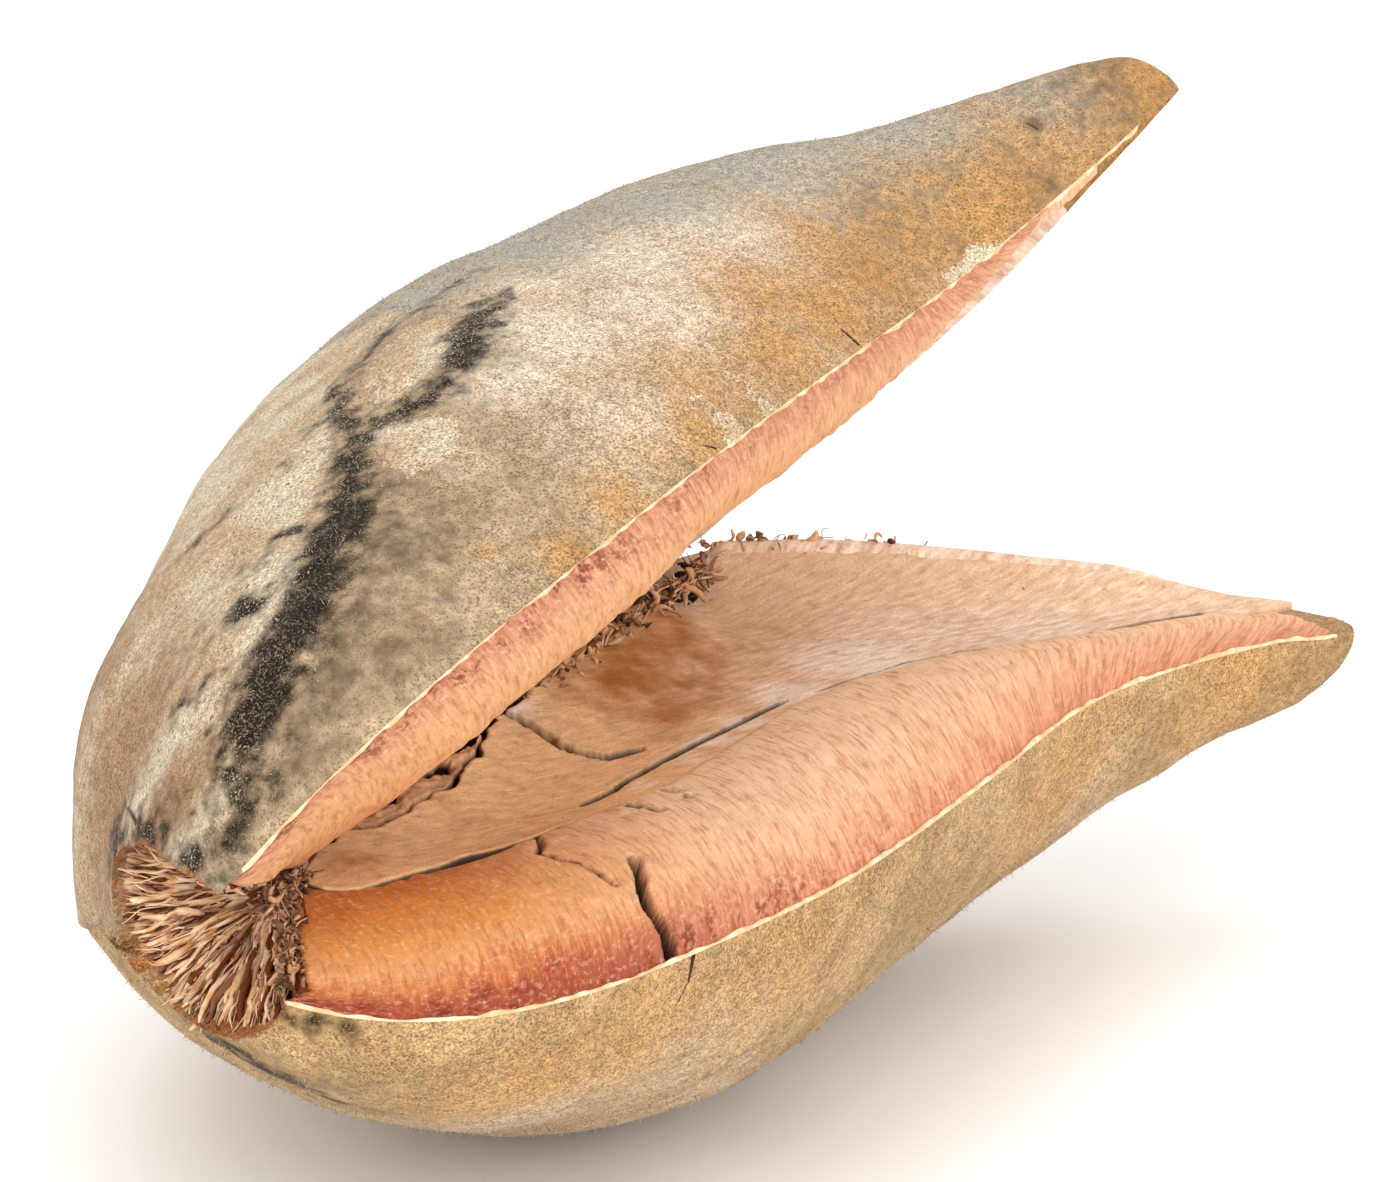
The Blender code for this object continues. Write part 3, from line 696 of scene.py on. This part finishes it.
def scar_place(angle, reach):
    """A point of the scar's cone: the throat + reach (rim - throat), with 1 for the rim."""
    out = rim_reach(angle)
    y = THROAT[1] + out * np.cos(np.radians(angle))
    z = THROAT[2] + out * np.sin(np.radians(angle))
    rim = xyz(rim_depth(y, z), y, z)
    return THROAT + np.asarray(reach)[..., None] * (rim - THROAT)


def scar_reach(points):
    """The angle about the scar's throat, in degrees, and how far out it is as a share of the way to the rim."""
    _, y, z = np.moveaxis(points, -1, 0)
    angle = np.degrees(np.arctan2(z - THROAT[2], y - THROAT[1]))
    return angle, np.hypot(y - THROAT[1], z - THROAT[2]) / rim_reach(angle)


def push_in_scar(points, side):
    """Moves what would cover the stalk scar in behind it, along X.

    What would stand in the open mouth, nearer than the scar's cone, is first turned about the throat to the
    scar's own edge on that valve's side.
    """
    angle, reach = scar_reach(points)
    in_front = (reach < 1) & (points[..., 0] < scar_place(angle, reach)[..., 0] + 0.5)
    mouth = (angle < RIM_ANGLES[0]) | (angle > RIM_ANGLES[-1])
    edge = RIM_ANGLES[-1] - 3 if side > 0 else RIM_ANGLES[0] + 3
    on_cone = scar_place(np.where(mouth, edge, angle), reach) + np.array([0.5, 0, 0])
    return np.where(in_front[..., None], on_cone, points), in_front


def join_skins(points, side):
    """Fills the groove behind the hinge where the skins of the two valves meet.

    Within JOIN_RUN of the plane between the valves the skin moves out along Y by tan(half of the opening)
    (run - w)^2 / (2 run), w being its distance from that plane, so it is level there. What lies past the plane,
    inside the other valve, is drawn in to a quarter of its distance.
    """
    x, y, z = np.moveaxis(points, -1, 0)
    behind = fade(y - hinge_at(x), 1.0, 3.0) * fade(x, 0.5, 5)
    apart = np.clip(side * z, 0, JOIN_RUN)
    fill = math.tan(OPENING / 2) * (JOIN_RUN - apart) ** 2 / (2 * JOIN_RUN)
    past = np.where(behind > 0, np.maximum(-side * z, 0), 0)
    return xyz(x, y + behind * (fill - 0.3 * fade(past, 0, 0.5)), z + side * 0.75 * past)


def skin_fields(x, angle, marks):
    """The named values that the skin's material reads, from the marks of a valve."""
    girth = skin_girth(x)
    around = np.radians(angle) * girth

    def placed(mark):
        along = float(mark[0])
        return (along, math.radians(mark[1]) * float(skin_girth(np.array(along)))) + tuple(mark[2:])

    fields = {}
    bare = np.full(around.shape, -3.0)
    for outline in marks["bare"]:
        bare = np.maximum(bare, inside(x, angle * 0.3, [(a, 0.3 * b) for a, b in outline]))
    fields["bare"] = np.clip(bare, -3, 3)
    for field in ("mould", "slit_shade"):
        fields[field] = np.clip(strokes(x, around, [[placed(m) for m in chain] for chain in marks[field]]), -3, 3)
    for field in ("dark", "bloom", "ochre", "grey", "tan"):
        fields[field] = spots(x, around, [placed(mark) for mark in marks[field]])
    return fields


def with_poles(fields):
    """Each field of a grid as a list, with its first and its last value again for the two poles."""
    return {name: np.append(field.ravel(), [field[0, 0], field[-1, 0]]) for name, field in fields.items()}


def make_valve(name, side, marks, materials):
    """One valve: its section carried along its length, with relief on the skin and wood, and cracks.

    Each point moves along its outward normal by a height. On the skin that is noise of three sizes and soft
    mounds, faded at the seam; on the wood it is noise drawn out along the rays, less depth (1 - fade) at each
    crack. The valve is then opened and joined to the other, and what would cover the scar is pushed in.

    Returns the skin's grid of points, and where on it the felt still grows.
    """
    s = ring_places(RINGS, 1.5 if side < 0 else 0.0)[:, None]
    turn = math.pi * (1 - (1 - np.linspace(0, 1, SKIN_POINTS)) ** 0.85)
    face, near, far, crest = face_rows(s, side)
    parts = [skin_point(s, turn[None, :], side)]
    parts += [xyz(LENGTH * s, y, -side * rise) for y, rise in face]
    counts = [part.shape[1] for part in parts]
    points = np.concatenate(parts, 1)
    zone = np.repeat(np.arange(6), counts)
    angle = np.concatenate([np.degrees(turn), np.zeros(sum(counts[1:]))])
    x, y = points[..., 0], points[..., 1]
    on_skin = (zone == 0)[None, :]
    on_wood = (zone >= 4)[None, :]
    along = np.gradient(points, axis=0)
    wrapped = np.concatenate([points[:, -1:], points, points[:, :1]], 1)
    across = wrapped[:, 2:] - wrapped[:, :-2]
    normal = np.cross(across, along)
    normal /= np.maximum(np.linalg.norm(normal, axis=-1, keepdims=True), 1e-9)
    normal = np.where(on_skin[..., None], -side * normal, np.array([0.0, 0.0, -side]))
    edge_fade = np.sqrt(np.clip(np.sin(np.radians(angle)), 0, 1))[None, :]
    relief = sum(rise * noise(points, size, seed + side) for rise, size, seed in SKIN_RELIEF)
    girth = skin_girth(x)
    for at_x, at_angle, reach, rise in SKIN_MOUNDS[side]:
        around = np.radians(angle)[None, :] * girth - math.radians(at_angle) * skin_girth(np.array(float(at_x)))
        relief = relief + rise * np.exp(-((x - at_x) ** 2 + around ** 2) / reach ** 2) * fade(x, 1.5, 5)
    height = np.where(on_skin, relief * edge_fade, 0)
    part = np.clip((y - near) / (crest - near), 0, 1)
    lean = x - 12 * (part - 0.45 * part ** 2)
    torn = 0.10 * noise(xyz(lean * 1.8, (y - near) * 0.4), 1.0, 21)
    torn = torn + 0.10 * noise(points, 2.2, 22) + 0.05 * noise(points, 0.7, 23)
    height = height + np.where(on_wood, torn, 0) + np.where(~on_skin & ~on_wood, 0.3 * torn, 0)
    beyond = 0.75 * (x - np.interp(y, *WOOD_END[side])) + 0.35 * noise(points, 1.2, 25)
    height = height - np.where(on_skin, 0, 2.6 * (1 - fade(beyond, -1.7, 1.6)) * fade(y - near, 0, 1.5))
    # Where the wood sinks beside the scar it is also painted dark, as shade in that hollow.
    crack = np.where(on_skin, 0, (0.45 + 0.4 * noise(points, 1.4, 27)) * (1 - fade(beyond, -1.2, 1.2)))
    if side < 0:
        for line, width, depth in WOOD_CRACKS:
            apart = distance_to(line, x + 0.12 * noise(points, 0.6, 24), y) / (width / 2)
            groove = np.where(~on_skin, 1 - fade(apart, 0.3, 0.8), 0)
            height = height - depth * groove * (zone != 5) * fade(y - near, 0.2, 0.8)
            # The grooves are painted dark as well: painted shade in the cracks.
            crack = np.maximum(crack, np.where(~on_skin, 1 - fade(apart, 0.7, 0.6), 0))
    behind = fade((y - crest) / np.maximum(far - crest, 0.1), 0.1, 0.9) * (1 - fade(np.abs(points[..., 2]), 1, 4))
    points[..., 2] += behind * far_edge_rise(x, side)
    # The corner of the seeds' hollow by the hinge is painted near-black: painted shade.
    corner = np.where(on_skin | on_wood, 0, fade(y - hinge_at(x), -1.5, 1.2) * (1 - fade(x, 56, 3)))
    crack = np.maximum(crack, corner * 0.9)
    points = points + normal * height[..., None]
    points[..., 2] += side * TIP_BEND[side] * fade(x, TIP_BEND_START, TIP_BEND_RUN)
    points[..., 0] -= TIP_SHORTER * fade(x, TIP_BEND_START, TIP_BEND_RUN)
    fields = {"crack": crack, "stain": np.zeros_like(x), "pale": np.full_like(x, 0.5), "along": x,
              "from_edge": y - near, "pink": 0.45 * (1 + side) * (1 - 0.6 * fade(x, 50, 20)),
              **skin_fields(x, angle[None, :], marks)}
    rows, around = x.shape
    ends = skin_point(np.array([0.0, 1.0]), np.zeros(2), side)
    ends[:, 0] -= np.array([0, TIP_SHORTER])
    ends[:, 2] += np.array([0, side * TIP_BEND[side]])
    flat = np.concatenate([points.reshape(-1, 3), ends])
    flat = join_skins(moved(valve_turn(side), flat), side)
    _, reach = scar_reach(flat)
    flat, covered = push_in_scar(flat, side)
    values = with_poles(fields)
    ragged = 0.04 * noise(flat, 0.7, 26)
    values["rim"] = (1 - fade(np.abs(reach + ragged - 1.0), 0.01, 0.05)) * (flat[:, 0] < 9)
    # What is pushed in behind the scar is painted near-black: painted shade.
    values["crack"] = np.maximum(values["crack"], covered)
    leaned = np.append(lean.ravel(), [0.0, LENGTH])
    values["grain"] = xyz(leaned, values["from_edge"], 9.3 * side)
    quads, fans = tube_faces(rows, around)
    if side > 0:
        quads, fans = quads[:, ::-1], fans[:, ::-1]
    around_zone = np.array([0, 2, 2, 1, 1, 3])[zone]
    zones = np.tile(around_zone, (rows - 1, 1))
    wrapped = (x[:-1, :1] < 0.6) | (x[:-1, :1] > WRAPPED_TIP[side]) | ((zones == 2) & (x[:-1, :1] < 4))
    zones = np.where(wrapped, 0, zones)
    put_mesh(name, flat, quads, fans, materials, np.append(zones.ravel(), np.zeros(2 * around, int)), values)
    seen = ~covered[:-2].reshape(rows, around)[:, :SKIN_POINTS]
    bald = fields["bare"][:, :SKIN_POINTS] > -0.2
    return flat[:-2].reshape(rows, around, 3)[:, :SKIN_POINTS], seen & ~bald


def path_at(x, line):
    """The y of a broken line at each x."""
    xs, ys = np.array(line, float).T
    return np.interp(x, xs, ys)


def put_sheet(name, points, material, fields):
    """A closed sheet of the lower valve from its grid, top and underside side by side, with a pole at each end."""
    flat = np.concatenate([points.reshape(-1, 3), points[[0, -1]].mean(1)])
    fields["grain"] = flat * np.array([1.0, 1.0, 0.0])
    quads, fans = tube_faces(*points.shape[:2])
    flat = moved(valve_turn(-1), flat)
    return put_mesh(name, flat, quads[:, ::-1], fans[:, ::-1], [material], fields=fields)


def make_lining(material):
    """The lower valve's seed lining, a thin closed sheet with rounded edges.

    Across, it runs from its inner edge to its torn or far edge; its top lies a little over the seeds' hollow and
    its underside is hidden in it. It is level with the wood beside it, and stands over a dark gap at its tongue.
    """
    rings, top_points, under_points = 420, 200, 12
    place = ring_places(rings)[:, None]
    x = LINING_START + (LINING_END - LINING_START) * place
    far = skin_point(x / LENGTH, math.pi, -1)[..., 1] - 0.3
    jagged = xyz(x, 0.0)
    outer = np.where(x < TORN_EDGE[-1][0], path_at(x, TORN_EDGE), np.minimum(hinge_at(x) + 0.3, far))
    wander = fade(x, 11, 3) * (1 - fade(x, 78, 4))
    outer = outer + wander * (0.28 * noise(jagged, 0.9, 41) + 0.16 * noise(jagged, 0.35, 42))
    inner = path_at(x, INNER_EDGE) + wander * (0.10 * noise(jagged, 1.2, 43) + 0.05 * noise(jagged, 0.4, 44))
    outer = np.maximum(outer, inner + 0.02)
    t = (1 - np.cos(np.linspace(0, math.pi, top_points))) / 2 * 0.35 + np.linspace(0, 1, top_points) * 0.65
    t = np.clip(t, 0, 1)
    y = inner + t[None, :] * (outer - inner)
    xs = np.broadcast_to(x, y.shape)
    beside = np.minimum(y - inner, outer - y)
    roll = 0.3 * (1 - np.sqrt(np.clip(1 - (1 - np.clip(beside / 0.3, 0, 1)) ** 2, 0, 1)))
    tongue = 1 - fade(x, 12, 9)
    trough = 0.9 * fade(x, 10, 22) * (1 - fade(x, 66, 18))
    rise = 0.55 * tongue - 0.05 - trough * np.sin(math.pi * t[None, :]) ** 0.9
    rise = rise + fade(t[None, :], 0.3, 0.7) * far_edge_rise(x, -1)
    rise = rise - roll + 0.06 * noise(xyz(xs * 0.3, y), 1.6, 45)
    # Painted shade: a dark line along both long edges of the sheet, where it meets the wood and the tissue.
    crack = 0.9 * (1 - fade(beside, 0.02, 0.12)) * (1 - fade(xs, 58, 3))
    wavy = xs + 0.15 * noise(xyz(xs, y), 0.5, 46)
    for line, width, depth in LINING_CRACKS:
        apart = distance_to(line, wavy, y) / (width / 2)
        rise = rise - depth * (1 - fade(apart, 0.3, 0.9))
        # The cracks are painted dark too: painted shade in them.
        crack = np.maximum(crack, 1 - fade(apart, 0.6, 0.9))
    under_y = inner + np.linspace(1, 0, under_points) * (outer - inner)
    under = np.minimum(0.55 * tongue - 0.9 - trough, -1.5 * fade(x, 12, 6))
    points = np.concatenate([xyz(xs, y, rise), xyz(x, under_y, under)], 1)
    x, y, _ = np.moveaxis(points, -1, 0)
    # The hidden underside is painted fully dark: painted shade.
    fields = {"crack": np.concatenate([crack, np.ones(under_y.shape)], 1), "along": x,
              "stain": spots(x, y, LINING_STAINS), "pale": spots(x, y, LINING_PALE)}
    return put_sheet("seed_lining", points, material, with_poles(fields))


def make_torn_tissue(material):
    """The crumbly tissue left between the torn edge of the lining and the line where the valves join.

    On a grid along that line, it rises from under the lining to the other valve: noise of three sizes, less fades
    at its start, at its two ends and along its dark splits.
    """
    rings, top_points, under_points = 300, 60, 6
    place = ring_places(rings)[:, None]
    x = TISSUE_START + (TISSUE_END - TISSUE_START) * place
    first_x, first_y = TORN_EDGE[0]
    torn = np.where(x < first_x, first_y - 0.35 * (first_x - x), path_at(x, TORN_EDGE))
    start = np.where(x < TORN_EDGE[-1][0], torn - 0.3, hinge_at(x) - 0.2)
    end = np.maximum(hinge_at(x) + 1.3, start + 0.3)
    t = np.linspace(0, 1, top_points)[None, :]
    y = start + t * (end - start)
    xs = np.broadcast_to(x, y.shape)
    at = xyz(xs, y)
    broken = 0.5 * noise(at * np.array([0.6, 1, 1]), 1.1, 51) + 0.35 * noise(at, 0.5, 52) + 0.2 * noise(at, 0.22, 53)
    gap = 1 - fade(y - start + 0.35 * noise(at, 1.3, 54), 0.35, 0.4)
    split = fade(strokes(xs + 0.2 * noise(at, 0.7, 55), y + 0.25 * noise(at, 0.5, 56), TISSUE_GAPS), -0.1, 0.2)
    low = 0.4 * fade(xs, 32.0, 2.5) + (1 - fade(xs, 10, 3.5))
    rise = -0.25 + 0.45 * broken - 0.8 * gap - 0.9 * low - 0.8 * split
    # This height makes the tissue pale on its tops and near-black in the gap under the lining's torn edge, along its
    # splits and where it lies low: painted light and shade.
    height = 0.75 + 0.7 * broken - 0.9 * gap - 0.6 * low - 1.0 * split
    under_y = start + np.linspace(1, 0, under_points) * (end - start)
    points = np.concatenate([xyz(x, y, rise), xyz(x, under_y, -3.2)], 1)
    height = np.append(np.concatenate([height, 0 * under_y], 1).ravel(), [0, 0])
    return put_sheet("torn_tissue", points, material, {"height": height})


def make_scar(material):
    """The torn scar: a cone of fibres from the rim to the throat, open towards the mouth, with a back behind it.

    On a grid of angle and reach the point is scar_place, moved along X by noise stretched along the fibres, and
    in the lower part also by rounder noise.
    """
    across, out_points, back_points = 300, 90, 12
    angle = np.linspace(RIM_ANGLES[0], RIM_ANGLES[-1], across)[:, None]
    reach = np.concatenate([np.linspace(0.02, 1.03, out_points), np.linspace(1.03, 0.02, back_points)])[None, :]
    front = np.concatenate([np.ones(out_points), np.zeros(back_points)])[None, :]
    points = scar_place(angle, reach)
    turned = np.radians(angle)
    ray = xyz(6 * np.cos(turned), 6 * np.sin(turned), reach * 1.6)
    ridge = noise(ray, 0.6, 31) + 0.5 * noise(ray, 0.3, 32)
    lump = noise(points, 0.7, 33) + 0.5 * noise(points, 0.35, 34)
    low = fade(-angle, 70, 30) * fade(reach, 0.35, 0.3)
    ridge = ridge * (1 - low) + lump * low
    ridge = ridge * fade(reach, 0.02, 0.2) * (1 - fade(reach, 0.95, 0.08))
    points[..., 0] += np.where(front > 0, -0.3 * ridge, 1.2)
    # This height makes the scar's ridges pale and its hollows, low lumps and back dark: painted light and shade.
    height = (0.4 + 0.4 * ridge - 0.3 * low) * front
    poles = np.stack([points[0].mean(0), points[-1].mean(0)])
    quads, fans = tube_faces(across, out_points + back_points)
    return put_mesh("stalk_scar", np.concatenate([points.reshape(-1, 3), poles]), quads, fans,
                    [material], fields={"height": np.append(height.ravel(), [0, 0])})


def make_strands(name, starts, ends, lift, bow, girth, draws, seed, material, pale):
    """Torn strands as tapered four-sided tubes, each from its start to its end, bowed and kinked.

    The middle line is start + t (end - start) + bend sin(pi t) + a little noise, the bend being its lift and bow
    times a normal draw. The radius is thick sin(pi (0.12 + 0.8 t))^0.7, with thick = least + more u^power from
    girth, u an even draw. pale gives the range of the strands' shade. All is for every strand at once.
    """
    steps, sides = 9, 4
    rng = np.random.default_rng(seed)
    count = len(starts)
    bend = lift + draws.normal(0, bow, (count, 3))
    least, more, power = girth
    thick = least + more * draws.uniform(0, 1, count) ** power
    t = np.linspace(0, 1, steps)[None, :, None]
    line = starts[:, None] + t * (ends - starts)[:, None] + bend[:, None] * np.sin(math.pi * t)
    apart = rng.uniform(0, 9, (count, 1, 1))
    kink = [noise(line + apart, 0.8, seed + i) for i in range(3)]
    line = line + 0.22 * np.stack(kink, -1)
    way = np.gradient(line, axis=1)
    way /= np.linalg.norm(way, axis=-1, keepdims=True)
    one = np.cross(way, np.array([0.3, 0.5, 0.81]))
    one /= np.linalg.norm(one, axis=-1, keepdims=True)
    two = np.cross(way, one)
    radius = thick[:, None, None] * np.sin(math.pi * (0.12 + 0.8 * t)) ** 0.7
    turn = np.linspace(0, 2 * math.pi, sides, endpoint=False)
    flat = rng.uniform(0.45, 1.0, (count, 1, 1, 1))
    ring = line[:, :, None] + radius[:, :, None] * (
        one[:, :, None] * np.cos(turn)[:, None] + flat * two[:, :, None] * np.sin(turn)[:, None])
    points = np.concatenate([ring.reshape(count, -1, 3), line[:, :1], line[:, -1:]], 1)
    quads, fans = tube_faces(steps, sides)
    shift = (np.arange(count) * points.shape[1])[:, None, None]
    shade = rng.uniform(*pale, (count, 1)) * np.ones((1, points.shape[1]))
    return put_mesh(name, points.reshape(-1, 3), (quads + shift).reshape(-1, 4), (fans + shift).reshape(-1, 3),
                    [material], fields={"height": shade.ravel()})


def make_scar_strands(material):
    """The broken fibres that stand in the scar, fanned out from its throat to its rim."""
    rng = np.random.default_rng(61)
    count = 1500
    angle = rng.uniform(RIM_ANGLES[0] + 4, RIM_ANGLES[-1] - 2, count)
    start = rng.uniform(0.03, 0.75, count)
    end = np.minimum(start + rng.uniform(0.15, 0.6, count), rng.uniform(0.92, 1.04, count))
    end = end + np.where(angle < -60, 0.08, 0.0)
    lift = np.array([-1.0, -0.6, 0.0]) * rng.uniform(0.1, 0.6, (count, 1))
    starts = scar_place(angle, start) + rng.normal(0, 0.15, (count, 3)) + lift * 0.6
    ends = scar_place(angle + rng.normal(0, 4, count), end) + rng.normal(0, 0.2, (count, 3)) + lift * 0.4
    return make_strands("scar_strands", starts, ends, 0.6 * lift, 0.12, (0.05, 0.24, 3), rng, 62, material, (0.1, 1.0))


def make_mouth_strands(material):
    """Dark crumbled fibres in the mouth of the split, from the scar to the tongue and against the wood's end."""
    rng = np.random.default_rng(63)
    count = 420
    t = rng.uniform(0, 1, (count, 1))
    along = np.array([3.6, 0.6, 0.1]) + t * np.array([7.4, 5.2, -0.3])
    beside = np.array([7.1, 3.0, -1.0]) + t * np.array([-5.2, -4.4, -1.9])
    starts = np.where(rng.uniform(0, 1, (count, 1)) < 0.6, along, beside) + rng.normal(0, 0.22, (count, 3))
    ends = starts + np.array([0.9, 0.8, 0.0]) * rng.normal(0, 0.8, (count, 1)) + rng.normal(0, 0.35, (count, 3))
    return make_strands("mouth_strands", starts, ends, 0, 0.15, (0.04, 0.18, 2), rng, 64, material, (0.3, 0.7))


def make_crevice_strands(material):
    """Torn crumbs and fibres in the crevice where the valves join, thickest at its open end, and on the rim."""
    rng = np.random.default_rng(65)
    count, rim_count = 260, 110
    t = rng.uniform(0, 1, (count, 1)) ** 0.5
    starts = np.array([35.0, 14.9, -0.2]) + t * np.array([23.0, 7.9, 0.1]) + rng.normal(0, 0.25, (count, 3))
    ends = starts + rng.normal(0, 1, (count, 3)) * np.array([0.6, 0.3, 0.4]) * (0.6 + 0.8 * t)
    x = rng.uniform(57, 70, rim_count) - 4 * rng.uniform(0, 1, rim_count) * rng.uniform(0, 1, rim_count)
    edge = skin_point(x / LENGTH, np.full(rim_count, math.pi), -1) + np.array([0, -0.25, 0])
    edge[:, 2] += far_edge_rise(x, -1)
    edge = moved(valve_turn(-1), edge)
    starts = np.concatenate([starts, edge])
    ends = np.concatenate([ends, edge + rng.normal(0, 1, (rim_count, 3)) * np.array([0.5, 0.3, 0.25])])
    return make_strands("crevice_strands", starts, ends, 0, 0.12, (0.04, 0.2, 2), rng, 66, material, (0.25, 0.8))


def make_hairs(name, grid, grown, seed, material):
    """The felt's longer hairs on a valve: thin three-sided spikes, leaning every way.

    grid holds the skin's points and grown is true where the felt is left. A hair's foot is a random point of a
    random cell of the grid, foot = p + u du + v dv, and its tip is the foot + length (0.5 normal + 0.8 any way).
    """
    rng = np.random.default_rng(seed)
    p, du, dv = grid[:-1, :-1], np.diff(grid, axis=0)[:, :-1], np.diff(grid, axis=1)[:-1]
    normal = np.cross(dv, du)
    area = np.linalg.norm(normal, axis=-1)
    share = (area * grown[:-1, :-1]).ravel()
    cell = rng.choice(share.size, HAIRS, p=share / share.sum())
    p, du, dv, normal = (a.reshape(-1, 3)[cell] for a in (p, du, dv, normal))
    out = normal / np.linalg.norm(normal, axis=-1, keepdims=True)
    out = out * np.where(np.sum(out * (p - grid.mean((0, 1))), -1, keepdims=True) < 0, -1, 1)
    foot = p + rng.uniform(0, 1, (HAIRS, 1)) * du + rng.uniform(0, 1, (HAIRS, 1)) * dv - 0.03 * out
    way = 0.5 * out + 0.8 * rng.normal(0, 0.6, (HAIRS, 3))
    way = way + out * np.maximum(0.15 - np.sum(way * out, -1, keepdims=True), 0)
    length = rng.uniform(*HAIR_LENGTHS, (HAIRS, 1))
    one = np.cross(way, rng.normal(0, 1, (HAIRS, 3)))
    one /= np.linalg.norm(one, axis=-1, keepdims=True)
    two = np.cross(way, one)
    two /= np.linalg.norm(two, axis=-1, keepdims=True)
    turn = np.array([0, 2, 4]) * math.pi / 3
    ring = one[:, None] * np.cos(turn)[:, None] + two[:, None] * np.sin(turn)[:, None]
    ring = foot[:, None] + HAIR_RADIUS * ring
    points = np.concatenate([ring, (foot + length * way)[:, None]], 1)
    faces = np.array([[0, 1, 3], [1, 2, 3], [2, 0, 3], [0, 2, 1]]) + 4 * np.arange(HAIRS)[:, None, None]
    shade = rng.uniform(0.1, 1.0, (HAIRS, 1)) * np.ones((1, 4))
    return put_mesh(name, points.reshape(-1, 3), np.zeros((0, 4), int), faces.reshape(-1, 3), [material],
                    fields={"height": shade.ravel()})


def light(name, place, aim, size, power, colour):
    """A soft square lamp that looks at a point."""
    lamp = bpy.data.lights.new(name, "AREA")
    lamp.size = size
    lamp.energy = power
    lamp.color = to_linear(colour)[:3]
    holder = bpy.data.objects.new(name, lamp)
    holder.location = place
    holder.rotation_euler = (Vector(aim) - Vector(place)).to_track_quat("-Z", "Y").to_euler()
    bpy.context.scene.collection.objects.link(holder)


# The camera, where the photograph was taken from
CAMERA_AIM = Vector((0.0048, 0.0001, 0.0229))
CAMERA_DISTANCE = 0.2889
CAMERA_AZIMUTH, CAMERA_ELEVATION = math.radians(-139.79), math.radians(16.5)
CAMERA_LENS = 148.05


def make_camera():
    """The camera, level, looking at its aim from its azimuth and elevation."""
    flat = math.cos(CAMERA_ELEVATION)
    way = Vector((flat * math.cos(CAMERA_AZIMUTH), flat * math.sin(CAMERA_AZIMUTH), math.sin(CAMERA_ELEVATION)))
    view = bpy.data.cameras.new("camera")
    view.lens = CAMERA_LENS
    view.sensor_width = 36
    view.clip_start = 0.01
    holder = bpy.data.objects.new("camera", view)
    holder.location = CAMERA_AIM + way * CAMERA_DISTANCE
    holder.rotation_euler = (-way).to_track_quat("-Z", "Y").to_euler()
    bpy.context.scene.collection.objects.link(holder)
    bpy.context.scene.camera = holder


def make_floor():
    """A wide plain floor of matt white card."""
    material, _, shader = new_material("white_card", 0.9, 0.2)
    shader.inputs["Base Color"].default_value = to_linear("#fdfdfd")
    mesh = bpy.data.meshes.new("floor")
    mesh.from_pydata([(-3, -3, 0), (3, -3, 0), (3, 3, 0), (-3, 3, 0)], [], [(0, 1, 2, 3)])
    mesh.materials.append(material)
    floor = bpy.data.objects.new("floor", mesh)
    bpy.context.scene.collection.objects.link(floor)


def make_lights():
    """A large soft lamp from the front left, a weaker one from the right, one above and a pale surround."""
    light("key", (-0.55, -0.25, 0.55), (0, 0, 0.02), 0.5, 2.3, "#fffcf8")
    light("fill", (-0.2, -0.68, 0.2), (0, 0, 0.02), 0.5, 2.4, "#ffffff")
    light("top", (0.1, 0.2, 0.7), (0, 0, 0.02), 0.6, 1.1, "#ffffff")
    world = bpy.data.worlds.new("surround")
    bpy.context.scene.world = world
    world.use_nodes = True
    world.node_tree.nodes["Background"].inputs[0].default_value = to_linear("#ffffff")
    world.node_tree.nodes["Background"].inputs[1].default_value = 0.86
    bpy.context.scene.view_settings.view_transform = "Standard"


make_camera()
make_floor()
make_lights()
SKIN_UPPER = felted_skin("felted_skin_weathered", ("#9f876a", "#b39a7c"), "#b58650", "#66553f")
SKIN_LOWER = felted_skin("felted_skin_sheltered", ("#a5845a", "#b9986c"), "#c2925c", "#8a6c45")
WOOD = split_wood("split_wood")
LINING = seed_lining("seed_lining")
RIND = dry_rind("dry_rind")
# The last colour of each torn material is painted gap shade on the scar and the tissue, and a darker tone on the
# strands and hairs.
FIBRE = torn_fibre("torn_wood_fibre", ("#e2a873", "#ffe0bc"), "#6e3518")
TISSUE = torn_fibre("torn_tissue", ("#c48a62", "#e6ba92"), "#2a120a")
HAIR = torn_fibre("felt_hair", ("#d8c6a8", "#efe2cb"), "#5c4a36")
grid, grown = make_valve("upper_valve", 1, UPPER_SKIN, [SKIN_UPPER, WOOD, LINING, RIND])
make_hairs("upper_hairs", grid, grown, 71, HAIR)
grid, grown = make_valve("lower_valve", -1, LOWER_SKIN, [SKIN_LOWER, WOOD, LINING, RIND])
make_hairs("lower_hairs", grid, grown, 72, HAIR)
make_lining(LINING)
make_torn_tissue(TISSUE)
make_scar(FIBRE)
make_scar_strands(FIBRE)
make_mouth_strands(TISSUE)
make_crevice_strands(TISSUE)
